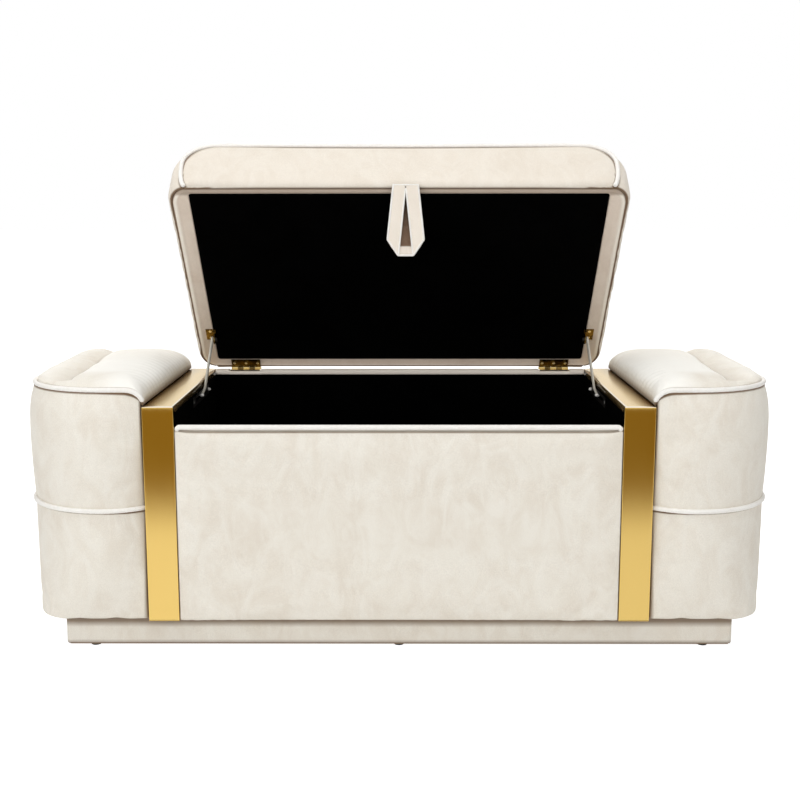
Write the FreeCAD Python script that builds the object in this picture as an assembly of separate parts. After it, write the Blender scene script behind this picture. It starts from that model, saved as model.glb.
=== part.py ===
import FreeCAD, Part
import math
import os

# Storage ottoman bench: a padded lid hinged on a lined box between two padded side blocks.
# Millimetres. X runs to the right, Y to the back, Z up, with the origin on the floor
# below the middle of the box. The lid is modelled open, leaning on its two stays.

# Overall sizes
overall_width = 1210.0
overall_depth = 450.0
band_top_height = 400.0
lid_thickness = 104.0
lid_open_angle = 51.0

# Base
glide_height = 3.0
glide_diameter = 16.0
glide_from_end = 40.0
plinth_height = 51.0
plinth_rail = 18.0
plinth_wrap = 2.0
plinth_front_setback = 28.0
plinth_end_setback = 67.0

# Centre box
opening_width = 702.0
board = 18.0
front_board_thickness = 15.0
lining = 2.0
panel_gap = 0.5
front_panel_drop = 36.0
front_foam = 10.0
front_swell = 4.0
inner_lip = 14.0
rim_lip = 7.0
rim_drop = 2.0
fabric = 3.0
back_fabric = 2.0
soft_gap = 0.3
foam_gap = 0.8

# Metal bands
band_width = 49.0
band_sheet = 1.2
band_return = 10.0
band_fit = 0.3

# Side blocks
block_gap = 1.0
block_front_swell = 14.0
block_seam_height = 236.0
block_edge_rise = 28.0
block_bottom_draw = 6.0
block_seam_draw = 4.0
block_corner = 135.0
block_foot_corner = 85.0
block_back_corner = 110.0
block_inner_draw = 26.0
block_edge_draw = 3.0
shoulder_width = 36.0
shoulder_drop = 27.0
top_crown = 9.0
roll_width = 70.0
roll_crown = 7.0
pinch_depth = 5.0
length_crown = 6.0
block_front_foam = 17.0
block_side_foam = 25.0
block_board_corner = 75.0
piping_diameter = 7.0

# Lid
lid_width = 764.0
lid_side_draw = 6.0
lid_front_setback = 5.0
lid_corner = 28.0
lid_top_corner = 50.0
lid_crown = 8.0
lid_length_crown = 6.0
lid_board = 15.0
lid_board_edge = 8.0
lid_border_side = 32.0
lid_border_front = 18.0
lid_border_back = 22.0
lid_lining_corner = 14.0

# Hinges
hinge_length = 55.0
hinge_from_middle = 294.0
hinge_leaf = 1.6
hinge_leaf_depth = 18.0
hinge_leaf_gap = 1.6
hinge_knuckle = 6.0
hinge_knuckles = 5
knuckle_gap = 0.4
hinge_pin = 3.0
pin_head = 1.0
lid_hinge_gap = 4.0
turning_fit = 0.05

# Screws
screw_head = 5.4
screw_head_height = 1.0
screw_shank = 3.0
screw_length = 10.0
screw_fit = 0.05

# Lid stays
stay_rod = 5.0
stay_pivot_reach = 90.0
stay_pivot_drop = 13.0
stay_pivot = 4.0
stay_nut = 9.0
stay_nut_height = 3.5
stay_eye = 12.0
stay_crank_length = 22.0
stay_crank = 6.0
stay_side_gap = 0.6
ear_gap = 0.8
bracket_sheet = 2.0
bracket_width = 18.0
bracket_length = 26.0
bracket_ear = 16.0
bracket_screw_spacing = 16.0
track_drop = 24.0
track_open_reach = 182.0
track_back_reach = 100.0
track_screw_inset = 9.0
track_thickness = 5.0
track_height = 18.0
track_lip = 2.0
track_play = 1.2
track_head = 9.0
track_head_height = 2.0
track_fit = 0.2

# Pull tab
tab_length = 118.0
tab_top_width = 43.0
tab_width = 63.0
tab_bottom_width = 27.0
tab_mitre = 27.0
tab_layer = 3.0
tab_edge_rise = 4.0
tab_slot_top = 19.0
tab_slot_width = 20.0
tab_slot_foot = 19.0
tab_gap = 0.9
tab_offset = 11.0

# Places worked out from the sizes above
front_crown = -overall_depth / 2
band_front = front_crown + block_front_swell
back_plane = overall_depth / 2
plinth_top = glide_height + plinth_height
band_inner = opening_width / 2
band_outer = band_inner + band_width
wall_face = band_inner - panel_gap
board_inner = wall_face + lining
block_inner = band_outer + block_gap
piping_radius = piping_diameter / 2
block_outer = overall_width / 2 - piping_radius
block_edge = band_top_height + block_edge_rise
block_width = block_outer - block_inner
floor_top = plinth_top + board
rim_top = band_top_height - rim_drop
front_panel_top = band_top_height - front_panel_drop
front_board_front = band_front + back_fabric + front_foam
front_board_back = front_board_front + front_board_thickness
back_board_back = back_plane - back_fabric
back_board_front = back_board_back - board
front_lining_face = front_board_back + lining
back_lining_face = back_board_front - lining
axis_y = back_plane + hinge_knuckle / 2 + soft_gap
axis_z = rim_top + hinge_leaf + hinge_leaf_gap / 2
lid_base = hinge_leaf + hinge_leaf_gap / 2
lid_reach = axis_y - band_front - lid_front_setback
lid_edge = lid_base + lid_thickness
lid_half = lid_width / 2
rod_side = wall_face - stay_side_gap - stay_rod / 2
ear_outer = rod_side - stay_rod / 2 - ear_gap
ear_inner = ear_outer - bracket_sheet
track_z = axis_z - track_drop


def vec(x, y, z):
    return FreeCAD.Vector(x, y, z)


def block(x0, x1, y0, y1, z0, z1):
    return Part.makeBox(x1 - x0, y1 - y0, z1 - z0, vec(x0, y0, z0))


def tube_x(x0, x1, y, z, radius):
    return Part.makeCylinder(radius, x1 - x0, vec(x0, y, z), vec(1, 0, 0))


def polygon_prism(points, height):
    outline = Part.makePolygon(points + [points[0]])
    return Part.Face(outline).extrude(height)


def mirrored(shape):
    return shape.mirror(vec(0, 0, 0), vec(1, 0, 0))


def upright_edges(shape):
    return [edge for edge in shape.Edges if abs(edge.tangentAt(edge.FirstParameter).z) > 0.5]


def both_sides(shape):
    return Part.makeCompound([shape, mirrored(shape)])


def arc(start, middle, end):
    return Part.Arc(start, middle, end).toShape()


# A box round a shape, kept to one side of a plane

def room_inside(shape, x):
    box = shape.BoundBox
    return block(box.XMin - 1, x, box.YMin - 1, box.YMax + 1, box.ZMin - 1, box.ZMax + 1)


def room_below(shape, z):
    box = shape.BoundBox
    return block(box.XMin - 1, box.XMax + 1, box.YMin - 1, box.YMax + 1, box.ZMin - 1, z)


def rod_between(start, end, radius):
    run = end - start
    return Part.makeCylinder(radius, run.Length, start, run)


def pipe(edges, radius):
    path = Part.Wire(edges)
    start = edges[0].valueAt(edges[0].FirstParameter)
    heading = edges[0].tangentAt(edges[0].FirstParameter)
    ring = Part.Wire(Part.makeCircle(radius, start, heading))
    return path.makePipeShell([ring], True, False)


# A screw with a flat head whose top lies on the surface at the given point

def screw(point, inward):
    head = Part.makeCylinder(screw_head / 2, screw_head_height, point, inward)
    shank = Part.makeCylinder(screw_shank / 2, screw_length, point, inward)
    return head.fuse(shank).removeSplitter()


def screw_hole(point, inward):
    head = Part.makeCylinder(screw_head / 2 + screw_fit, screw_head_height, point, inward)
    shank = Part.makeCylinder(screw_shank / 2 + screw_fit, screw_length + screw_fit, point, inward)
    return head.fuse(shank)


def drilled(shape, places, inward):
    for point in places:
        shape = shape.cut(screw_hole(point, inward))
    return shape


def screws(places, inward):
    return Part.makeCompound([screw(point, inward) for point in places])


# Base: five rails, the wrap round them and the glides

plinth_front = band_front + plinth_front_setback
plinth_back = back_plane - plinth_front_setback
plinth_half = overall_width / 2 - plinth_end_setback
rail_front = plinth_front + plinth_wrap
rail_back = plinth_back - plinth_wrap
rail_end = plinth_half - plinth_wrap


def plinth_long_rails():
    starts = (rail_front, rail_back - plinth_rail)
    rails = [block(-rail_end, rail_end, y, y + plinth_rail, glide_height, plinth_top) for y in starts]
    return Part.makeCompound(rails)


def plinth_cross_rails():
    y0 = rail_front + plinth_rail
    y1 = rail_back - plinth_rail
    starts = (-rail_end, -plinth_rail / 2, rail_end - plinth_rail)
    rails = [block(x, x + plinth_rail, y0, y1, glide_height, plinth_top) for x in starts]
    return Part.makeCompound(rails)


def plinth_wrap_strips():
    top = plinth_top - soft_gap
    front = block(-plinth_half, plinth_half, plinth_front, rail_front, glide_height, top)
    back = block(-plinth_half, plinth_half, rail_back, plinth_back, glide_height, top)
    end = block(rail_end, plinth_half, rail_front, rail_back, glide_height, top)
    return Part.makeCompound([front, back, end, mirrored(end)])


def floor_glides():
    far = rail_end - glide_from_end
    front = rail_front + plinth_rail / 2
    back = rail_back - plinth_rail / 2
    corners = [(side * far, y) for side in (-1, 1) for y in (front, back)]
    places = corners + [(0, front), (0, back), (0, 0)]
    discs = [Part.makeCylinder(glide_diameter / 2, glide_height, vec(x, y, 0)) for x, y in places]
    return Part.makeCompound(discs)


# Plan of the side block's boards, with both outer corners cut off

block_board_end = block_outer - block_side_foam
frame_front = band_front + block_front_foam + back_fabric
frame_back = back_plane - block_front_foam
frame_inner = block_inner + fabric + soft_gap
frame_cut = min(block_board_corner, block_board_end - frame_inner - board)
frame_top = block_edge - shoulder_drop - length_crown - fabric - foam_gap


def block_frame_prism(x0, margin, z0, z1):
    x1 = block_board_end + margin
    y0 = frame_front - margin
    y1 = frame_back + margin
    points = [
        vec(x0, y0, z0),
        vec(x1 - frame_cut, y0, z0),
        vec(x1, y0 + frame_cut, z0),
        vec(x1, y1 - frame_cut, z0),
        vec(x1 - frame_cut, y1, z0),
        vec(x0, y1, z0),
    ]
    return polygon_prism(points, vec(0, 0, z1 - z0))


# Centre box: boards, linings and the covered front and back

def base_board():
    half = band_outer - band_sheet - band_fit
    y1 = back_plane - band_return - band_fit
    middle = block(-half, half, front_board_front, y1, plinth_top, floor_top)
    wing = block_frame_prism(half, 0, plinth_top, floor_top)
    return middle.fuse([wing, mirrored(wing)]).removeSplitter()


def box_side_board():
    top = band_top_height - band_sheet - band_fit
    y0 = band_front + band_sheet + band_fit
    y1 = back_plane - band_sheet - band_fit
    upper = block(board_inner, board_inner + board, y0, y1, floor_top, top)
    foot_room = block(board_inner, board_inner + board, y0, front_board_front, plinth_top, floor_top)
    return upper.fuse(foot_room).removeSplitter()


def box_front_board():
    top = front_panel_top - fabric
    return block(-board_inner, board_inner, front_board_front, front_board_back, floor_top, top)


def box_back_board():
    half = wall_face
    return block(-half, half, back_board_front, back_board_back, floor_top, rim_top - fabric)


def lining_floor():
    return block(-wall_face, wall_face, front_lining_face, back_lining_face, floor_top, floor_top + lining)


def lining_side():
    top = band_top_height - band_return - soft_gap
    return block(wall_face, board_inner, front_board_back, back_board_front, floor_top, top)


def lining_front():
    top = front_panel_top - inner_lip
    return block(-wall_face, wall_face, front_board_back, front_lining_face, floor_top, top)


def lining_back():
    top = rim_top - rim_lip
    return block(-wall_face, wall_face, back_lining_face, back_board_front, floor_top, top)


# The front of the panel bows forward between its lower edge and its piped top edge

def front_bow(y_edge, z0, z1, swell):
    lower = vec(-wall_face, y_edge, z0)
    middle = vec(-wall_face, y_edge - swell, (z0 + z1) / 2)
    upper = vec(-wall_face, y_edge, z1)
    return arc(lower, middle, upper)


def bowed_slab(y_edge, y_back, z0, z1, swell):
    bow = front_bow(y_edge, z0, z1, swell)
    top = Part.makeLine(vec(-wall_face, y_edge, z1), vec(-wall_face, y_back, z1))
    back = Part.makeLine(vec(-wall_face, y_back, z1), vec(-wall_face, y_back, z0))
    foot = Part.makeLine(vec(-wall_face, y_back, z0), vec(-wall_face, y_edge, z0))
    return Part.Face(Part.Wire([bow, top, back, foot])).extrude(vec(2 * wall_face, 0, 0))


def front_panel_foam():
    y_edge = band_front + back_fabric + soft_gap
    top = front_panel_top - fabric - soft_gap
    return bowed_slab(y_edge, front_board_front, plinth_top, top, front_swell)


def front_panel_cover():
    outer = bowed_slab(band_front, front_lining_face, plinth_top, front_panel_top, front_swell)
    below = plinth_top - fabric
    inner_top = front_panel_top - fabric
    hollow = bowed_slab(band_front + back_fabric, front_board_back, below, inner_top, front_swell)
    lip_foot = front_panel_top - inner_lip
    lip_room = block(-wall_face, wall_face, front_board_back, front_lining_face, below, lip_foot)
    return outer.cut(hollow).cut(lip_room)


def front_panel_piping():
    z = front_panel_top + soft_gap + piping_radius
    return tube_x(-wall_face, wall_face, band_front + piping_radius, z, piping_radius)


def back_panel_cover():
    half = wall_face
    sheet = block(-half, half, back_board_back, back_plane, plinth_top, rim_top)
    rim = block(-half, half, back_lining_face, back_plane, rim_top - fabric, rim_top)
    lip = block(-half, half, back_lining_face, back_board_front, rim_top - rim_lip, rim_top)
    return sheet.fuse([rim, lip]).removeSplitter()


# A metal band: folded sheet over the front, top and back, with both edges returned

def band_bar(inset, depth):
    x0 = band_inner + inset
    x1 = band_outer - inset
    y0 = band_front + inset
    y1 = back_plane - inset
    top = band_top_height - inset
    front = block(x0, x1, y0, band_front + depth, plinth_top, top)
    cap = block(x0, x1, y0, y1, band_top_height - depth, top)
    back = block(x0, x1, back_plane - depth, y1, plinth_top, top)
    return front.fuse([cap, back]).removeSplitter()


def metal_band():
    return band_bar(0, band_return).cut(band_bar(band_sheet, band_return)).removeSplitter()


# Side block: plan outlines at the foot, seam and edge, lofted into two swollen panels

def block_outline(height, inset, draw, corner, front_y, inner_draw):
    x_in = block_inner + inset
    x_out = block_outer - inset - draw
    widest = block_width - shoulder_width - draw - piping_diameter
    radius = min(corner, widest) - inset
    back_radius = min(block_back_corner, widest) - inset
    y_front = front_y + inset + draw
    y_back = back_plane - inset - draw
    x_crown = x_out - radius
    reach = x_crown - x_in
    bend = (reach ** 2 + inner_draw ** 2) / (2 * inner_draw)
    half_turn = math.asin(reach / bend) / 2
    slope = math.sqrt(0.5)
    start = vec(x_in, y_front + inner_draw, height)
    half_reach = bend * math.sin(half_turn)
    half_draw = bend * (1 - math.cos(half_turn))
    front_middle = vec(x_crown - half_reach, y_front + half_draw, height)
    crown = vec(x_crown, y_front, height)
    corner_middle = vec(x_crown + radius * slope, y_front + radius * (1 - slope), height)
    side_front = vec(x_out, y_front + radius, height)
    side_back = vec(x_out, y_back - back_radius, height)
    x_back = x_out - back_radius
    back_middle = vec(x_back + back_radius * slope, y_back - back_radius * (1 - slope), height)
    back_corner = vec(x_back, y_back, height)
    back_inner = vec(x_in, y_back, height)
    front_edges = [arc(start, front_middle, crown), arc(crown, corner_middle, side_front)]
    side_edge = Part.makeLine(side_front, side_back)
    back_edges = [arc(side_back, back_middle, back_corner), Part.makeLine(back_corner, back_inner)]
    return front_edges + [side_edge] + back_edges + [Part.makeLine(back_inner, start)]


def block_foot_outline(height, inset):
    return block_outline(height, inset, block_bottom_draw, block_foot_corner, band_front, block_edge_draw)


def block_swell_outline(height, inset):
    return block_outline(height, inset, 0, block_corner, front_crown, block_inner_draw)


def block_seam_outline(inset):
    height = block_seam_height
    return block_outline(height, inset, block_seam_draw, block_corner, front_crown, block_inner_draw)


def block_edge_outline(height, inset):
    return block_outline(height, inset, block_seam_draw, block_corner, band_front, block_edge_draw)


# The rounded, crowned and pinched top, turned about a far axis so that it falls to both ends

def block_cap(inset):
    x0 = block_inner + inset
    x1 = block_outer + piping_diameter
    low = plinth_top - board
    shoulder_foot = block_edge - shoulder_drop - inset
    top = block_edge + length_crown - inset
    pinch_x = block_outer - roll_width
    pinch_z = top + top_crown - pinch_depth - roll_crown
    foot = vec(x0, 0, low)
    shoulder_start = vec(x0, 0, shoulder_foot)
    bulge = math.sqrt(0.5)
    shoulder_middle = vec(
        x0 + shoulder_width * (1 - bulge), 0, shoulder_foot + (top - shoulder_foot) * bulge)
    shoulder_end = vec(x0 + shoulder_width, 0, top)
    crest = vec((shoulder_end.x + pinch_x) / 2, 0, top + top_crown)
    pinch = vec(pinch_x, 0, pinch_z)
    roll = vec(pinch_x + roll_width / 2, 0, pinch_z + roll_crown)
    edge = vec(x1, 0, top)
    corner = vec(x1, 0, low)
    outline = Part.Wire([
        Part.makeLine(foot, shoulder_start),
        arc(shoulder_start, shoulder_middle, shoulder_end),
        arc(shoulder_end, crest, pinch),
        arc(pinch, roll, edge),
        Part.makeLine(edge, corner),
        Part.makeLine(corner, foot),
    ])
    half_depth = overall_depth / 2
    turn_radius = (half_depth ** 2 + length_crown ** 2) / (2 * length_crown)
    reach = math.degrees(math.asin((half_depth + piping_diameter) / (turn_radius - top + low)))
    pivot = vec(0, 0, top - turn_radius)
    face = Part.Face(outline)
    face.rotate(pivot, vec(1, 0, 0), -reach)
    return face.revolve(pivot, vec(1, 0, 0), 2 * reach)


def block_form(inset, foot):
    low_middle = (plinth_top + block_seam_height) / 2
    high_middle = (block_edge + block_seam_height) / 2
    bottom = Part.Wire(block_foot_outline(foot, inset))
    low_swell = Part.Wire(block_swell_outline(low_middle, inset))
    seam = Part.Wire(block_seam_outline(inset))
    high_swell = Part.Wire(block_swell_outline(high_middle, inset))
    edge = Part.Wire(block_edge_outline(block_edge, inset))
    lower = Part.makeLoft([bottom, low_swell, seam], True)
    upper = Part.makeLoft([seam, high_swell, edge], True)
    crown = Part.Face(edge).extrude(vec(0, 0, top_crown + length_crown + roll_crown))
    return lower.fuse([upper, crown]).common(block_cap(inset))


def block_cover():
    skin = block_form(0, plinth_top).cut(block_form(fabric, plinth_top - fabric))
    y0 = frame_front - soft_gap
    y1 = frame_back + soft_gap
    x1 = block_inner + 2 * fabric
    window = block(band_outer, x1, y0, y1, plinth_top - fabric, frame_top - inner_lip)
    return skin.cut(window).cut(block_edge_groove())


def block_foam():
    hollow = block_frame_prism(band_outer, soft_gap, plinth_top - board, frame_top + soft_gap)
    return block_form(fabric + foam_gap, plinth_top).cut(hollow).cut(block_edge_groove())


def block_top_board():
    return block_frame_prism(frame_inner, 0, frame_top - board, frame_top)


def block_inner_board():
    x1 = band_outer - band_sheet - band_fit
    y0 = band_front + band_sheet + band_fit
    y1 = back_plane - band_sheet - band_fit
    top = band_top_height - band_sheet - band_fit
    return block(x1 - board, x1, y0, y1, floor_top, top)


def block_outer_board():
    y0 = frame_front + frame_cut
    y1 = frame_back - frame_cut
    return block(block_board_end - board, block_board_end, y0, y1, floor_top, frame_top - board)


def block_end_board(y0):
    x1 = block_board_end - frame_cut
    return block(frame_inner, x1, y0, y0 + board, floor_top, frame_top - board)


# Piping: round cords that follow the outlines of the side blocks

def piping_edges(height, draw, corner, front_y, inner_draw):
    stand_off = -(piping_radius + soft_gap)
    edges = block_outline(height, stand_off, draw, corner, front_y, inner_draw)
    return edges[:5]


def block_seam_piping():
    edges = piping_edges(block_seam_height, block_seam_draw, block_corner, front_crown, block_inner_draw)
    cord = pipe(edges, piping_radius)
    return cord.cut(room_inside(cord, block_inner))


def shoulder_arc(y, height):
    x0 = block_inner + piping_radius
    x1 = block_inner + shoulder_width
    foot = height - shoulder_drop
    bulge = math.sqrt(0.5)
    low = vec(x0, y, foot)
    middle = vec(x0 + (x1 - x0) * (1 - bulge), y, foot + shoulder_drop * bulge)
    return [low, middle, vec(x1, y, height)]


def block_edge_path():
    height = block_edge - piping_radius
    edges = piping_edges(height, block_seam_draw, block_corner, band_front, block_edge_draw)
    crown = edges[1].valueAt(edges[1].FirstParameter)
    back_corner = edges[4].valueAt(edges[4].FirstParameter)
    front = shoulder_arc(crown.y, height)
    back = shoulder_arc(back_corner.y, height)
    path = [arc(front[0], front[1], front[2]), Part.makeLine(front[2], crown)]
    path = path + edges[1:4]
    return path + [Part.makeLine(back_corner, back[2]), arc(back[2], back[1], back[0])]


def block_edge_piping():
    return pipe(block_edge_path(), piping_radius)


def block_edge_groove():
    return pipe(block_edge_path(), piping_radius + soft_gap)


# Lid, modelled shut over the box and then turned open about the hinge axis

def lid_y(reach):
    return axis_y - reach


def opened(shape):
    turned = shape.copy()
    turned.rotate(vec(0, axis_y, axis_z), vec(-1, 0, 0), lid_open_angle)
    return turned


def lid_outline(height, inset, draw):
    half = lid_half - inset - draw
    y0 = lid_y(lid_reach) + inset
    y1 = lid_y(lid_hinge_gap) - inset
    radius = lid_corner - inset
    slope = math.sqrt(0.5)
    edges = []
    corners = [(half, y0, 1, -1), (half, y1, 1, 1), (-half, y1, -1, 1), (-half, y0, -1, -1)]
    last = vec(-half + radius, y0, height)
    for x, y, side, end in corners:
        along = vec(x - side * radius, y, height)
        across = vec(x, y - end * radius, height)
        middle = vec(x - side * radius * (1 - slope), y - end * radius * (1 - slope), height)
        first, second = (along, across) if side * end < 0 else (across, along)
        edges.append(Part.makeLine(last, first))
        edges.append(arc(first, middle, second))
        last = second
    return Part.Wire(edges)


# Rounded long edges and a crown, turned about a far axis so that it falls to front and back

def lid_cap(inset):
    half = lid_half - inset
    side = lid_half + piping_diameter
    low = axis_z - board
    edge = axis_z + lid_edge + lid_length_crown - inset
    radius = lid_top_corner - inset
    slope = math.sqrt(0.5)
    middle_y = lid_y(lid_reach / 2)

    def at(x, z):
        return vec(x, middle_y, z)

    right_start = at(half, edge - radius)
    right_middle = at(half - radius * (1 - slope), edge - radius * (1 - slope))
    right_end = at(half - radius, edge)
    left_start = at(-half + radius, edge)
    left_middle = at(-half + radius * (1 - slope), edge - radius * (1 - slope))
    left_end = at(-half, edge - radius)
    outline = Part.Wire([
        Part.makeLine(at(-side, low), at(side, low)),
        Part.makeLine(at(side, low), at(side, edge - radius)),
        Part.makeLine(at(side, edge - radius), right_start),
        arc(right_start, right_middle, right_end),
        arc(right_end, at(0, edge + lid_crown), left_start),
        arc(left_start, left_middle, left_end),
        Part.makeLine(left_end, at(-side, edge - radius)),
        Part.makeLine(at(-side, edge - radius), at(-side, low)),
    ])
    half_reach = lid_reach / 2
    turn_radius = (half_reach ** 2 + lid_length_crown ** 2) / (2 * lid_length_crown)
    pivot = at(0, edge - turn_radius)
    reach = math.degrees(math.asin((half_reach + piping_diameter) / (turn_radius - edge + low)))
    face = Part.Face(outline)
    face.rotate(pivot, vec(1, 0, 0), -reach)
    return face.revolve(pivot, vec(1, 0, 0), 2 * reach)


def lid_form(inset):
    foot = axis_z + lid_base + inset
    middle = axis_z + lid_base + lid_thickness / 2
    edge = axis_z + lid_edge + lid_length_crown + lid_crown
    wires = [
        lid_outline(foot, inset, lid_side_draw),
        lid_outline(middle, inset, 0),
        lid_outline(edge, inset, lid_side_draw),
    ]
    return Part.makeLoft(wires, True).common(lid_cap(inset))


def lid_panel(margin, z0, z1):
    half = lid_half - lid_side_draw - lid_border_side - margin
    y0 = lid_y(lid_reach - lid_border_front) + margin
    y1 = lid_y(lid_border_back) - margin
    plate = block(-half, half, y0, y1, z0, z1)
    return plate.makeFillet(lid_lining_corner, upright_edges(plate))


lid_under = axis_z + lid_base
lid_board_under = lid_under + fabric + soft_gap
lid_board_top = lid_board_under + lid_board


def lid_board_shape():
    half = lid_half - lid_side_draw - lid_board_edge
    y0 = lid_y(lid_reach) + lid_board_edge
    y1 = lid_y(lid_hinge_gap) - lid_board_edge
    plate = block(-half, half, y0, y1, lid_board_under, lid_board_top)
    return plate.makeFillet(lid_corner - lid_board_edge, upright_edges(plate))


def lid_foam_shape():
    solid = lid_form(fabric + foam_gap)
    return solid.cut(room_below(solid, lid_board_top + soft_gap))


def lid_cover_shape():
    skin = lid_form(0).cut(lid_form(fabric))
    return skin.cut(lid_panel(0, lid_under - fabric, lid_board_under))


def lid_lining_shape():
    return lid_panel(soft_gap, lid_under + soft_gap, lid_under + fabric)


# Piping on the flat end panels, from the lower corner up, round and across

def lid_end_piping(y):
    half = lid_half - lid_side_draw - lid_corner
    low = axis_z + lid_base + piping_diameter
    top = axis_z + lid_edge - piping_diameter - lid_crown
    radius = lid_top_corner - piping_diameter
    slope = math.sqrt(0.5)
    edges = [Part.makeLine(vec(-half, y, low), vec(-half, y, top - radius))]
    bend = vec(-half + radius * (1 - slope), y, top - radius * (1 - slope))
    edges.append(arc(vec(-half, y, top - radius), bend, vec(-half + radius, y, top)))
    edges.append(Part.makeLine(vec(-half + radius, y, top), vec(half - radius, y, top)))
    bend = vec(half - radius * (1 - slope), y, top - radius * (1 - slope))
    edges.append(arc(vec(half - radius, y, top), bend, vec(half, y, top - radius)))
    edges.append(Part.makeLine(vec(half, y, top - radius), vec(half, y, low)))
    return pipe(edges, piping_radius)


# Butt hinges: a leaf on the rim and a leaf on the lid, with knuckles in turn on one pin

knuckle_length = hinge_length / hinge_knuckles


def hinge_leaf_shape(middle_x, low, high, first):
    x0 = middle_x - hinge_length / 2
    radius = hinge_knuckle / 2
    y0 = axis_y - radius - soft_gap - hinge_leaf_depth
    plate = block(x0, x0 + hinge_length, y0, axis_y - radius - soft_gap, low, high)
    pieces = []
    for index in range(first, hinge_knuckles, 2):
        k0 = x0 + index * knuckle_length + knuckle_gap / 2
        k1 = x0 + (index + 1) * knuckle_length - knuckle_gap / 2
        pieces.append(block(k0, k1, axis_y - radius - soft_gap, axis_y, low, high))
        pieces.append(tube_x(k0, k1, axis_y, axis_z, radius))
    bore = tube_x(x0, x0 + hinge_length, axis_y, axis_z, hinge_pin / 2 + turning_fit)
    return plate.fuse(pieces).cut(bore).removeSplitter()


def hinge_screw_places(z):
    y = axis_y - hinge_knuckle / 2 - hinge_leaf_depth / 2
    step = hinge_length / 2 - knuckle_length / 2
    sides = (-hinge_from_middle, hinge_from_middle)
    return [vec(side + offset * step, y, z) for side in sides for offset in (-1, 0, 1)]


rim_screws = hinge_screw_places(rim_top + hinge_leaf)
lid_screws = hinge_screw_places(lid_under - hinge_leaf)


def hinge_rim_leaves():
    low = rim_top
    sides = (-hinge_from_middle, hinge_from_middle)
    leaves = [hinge_leaf_shape(x, low, low + hinge_leaf, 0) for x in sides]
    return drilled(Part.makeCompound(leaves), rim_screws, vec(0, 0, -1))


def hinge_lid_leaves():
    high = lid_under
    sides = (-hinge_from_middle, hinge_from_middle)
    leaves = [hinge_leaf_shape(x, high - hinge_leaf, high, 1) for x in sides]
    return drilled(Part.makeCompound(leaves), lid_screws, vec(0, 0, 1))


def hinge_pins():
    pins = []
    for middle in (-hinge_from_middle, hinge_from_middle):
        x0 = middle - hinge_length / 2
        x1 = middle + hinge_length / 2
        shaft = tube_x(x0, x1, axis_y, axis_z, hinge_pin / 2)
        left = tube_x(x0 - pin_head, x0, axis_y, axis_z, hinge_knuckle / 2 - pin_head / 2)
        right = tube_x(x1, x1 + pin_head, axis_y, axis_z, hinge_knuckle / 2 - pin_head / 2)
        pins.append(shaft.fuse([left, right]).removeSplitter())
    return Part.makeCompound(pins)


# Lid stays: reach is measured forward from the hinge axis and rise upward from it

open_turn = math.radians(lid_open_angle)
open_pivot_reach = stay_pivot_reach * math.cos(open_turn) + stay_pivot_drop * math.sin(open_turn)
open_pivot_rise = stay_pivot_reach * math.sin(open_turn) - stay_pivot_drop * math.cos(open_turn)
rod_run = track_open_reach - open_pivot_reach
rod_fall = open_pivot_rise + track_drop
rod_length = math.hypot(rod_run, rod_fall)
shut_reach = stay_pivot_reach + math.sqrt(rod_length ** 2 - (track_drop - stay_pivot_drop) ** 2)
slot_radius = stay_rod / 2 + track_play


def stay_bracket():
    y = lid_y(stay_pivot_reach)
    z = axis_z - stay_pivot_drop
    under = lid_under
    plate = block(ear_inner, ear_inner + bracket_width, y - bracket_length / 2, y + bracket_length / 2,
                  under - bracket_sheet, under)
    ear = block(ear_inner, ear_outer, y - bracket_ear / 2, y + bracket_ear / 2, z, under)
    tip = tube_x(ear_inner, ear_outer, y, z, bracket_ear / 2)
    hole = tube_x(ear_inner, ear_outer, y, z, stay_pivot / 2 + turning_fit)
    shape = plate.fuse([ear, tip]).cut(hole).removeSplitter()
    return drilled(shape, bracket_screw_places(), vec(0, 0, 1))


def bracket_screw_places():
    x = ear_outer + (bracket_width - bracket_sheet) / 2
    z = lid_under - bracket_sheet
    y = lid_y(stay_pivot_reach)
    return [vec(x, y + end * bracket_screw_spacing / 2, z) for end in (-1, 1)]


def stay_pivot_shape():
    y = lid_y(stay_pivot_reach)
    z = axis_z - stay_pivot_drop
    shaft = tube_x(ear_inner, rod_side + stay_rod / 2, y, z, stay_pivot / 2)
    radius = stay_nut / 2
    turns = [math.radians(60 * side) for side in range(6)]
    corners = [vec(ear_inner, y + radius * math.cos(turn), z + radius * math.sin(turn)) for turn in turns]
    nut = polygon_prism(corners, vec(-stay_nut_height, 0, 0))
    return shaft.fuse(nut).removeSplitter()


def stay_rod_shape():
    top = vec(rod_side, axis_y - open_pivot_reach, axis_z + open_pivot_rise)
    end = vec(rod_side, axis_y - track_open_reach, track_z)
    radius = stay_rod / 2
    share = 1 - stay_crank_length / rod_length
    bend = top + (end - top) * share - vec(stay_crank, 0, 0)
    eye = tube_x(rod_side - radius, rod_side + radius, top.y, top.z, stay_eye / 2)
    bore_start = rod_side - radius - ear_gap
    bore = tube_x(bore_start, wall_face, top.y, top.z, stay_pivot / 2 + turning_fit)
    upper = rod_between(top, bend, radius)
    lower = rod_between(bend, end, radius)
    knees = [Part.makeSphere(radius, bend), Part.makeSphere(radius, end)]
    head_start = wall_face + track_lip + soft_gap
    shank = tube_x(rod_side, head_start, end.y, end.z, radius)
    head = tube_x(head_start, head_start + track_head_height, end.y, end.z, track_head / 2)
    return eye.fuse([upper, lower, shank, head] + knees).cut(bore).removeSplitter()


def slot_bar(x0, x1, radius):
    near = axis_y - track_open_reach
    far = axis_y - shut_reach
    run = block(x0, x1, far, near, track_z - radius, track_z + radius)
    ends = [tube_x(x0, x1, far, track_z, radius), tube_x(x0, x1, near, track_z, radius)]
    return run.fuse(ends)


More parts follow.
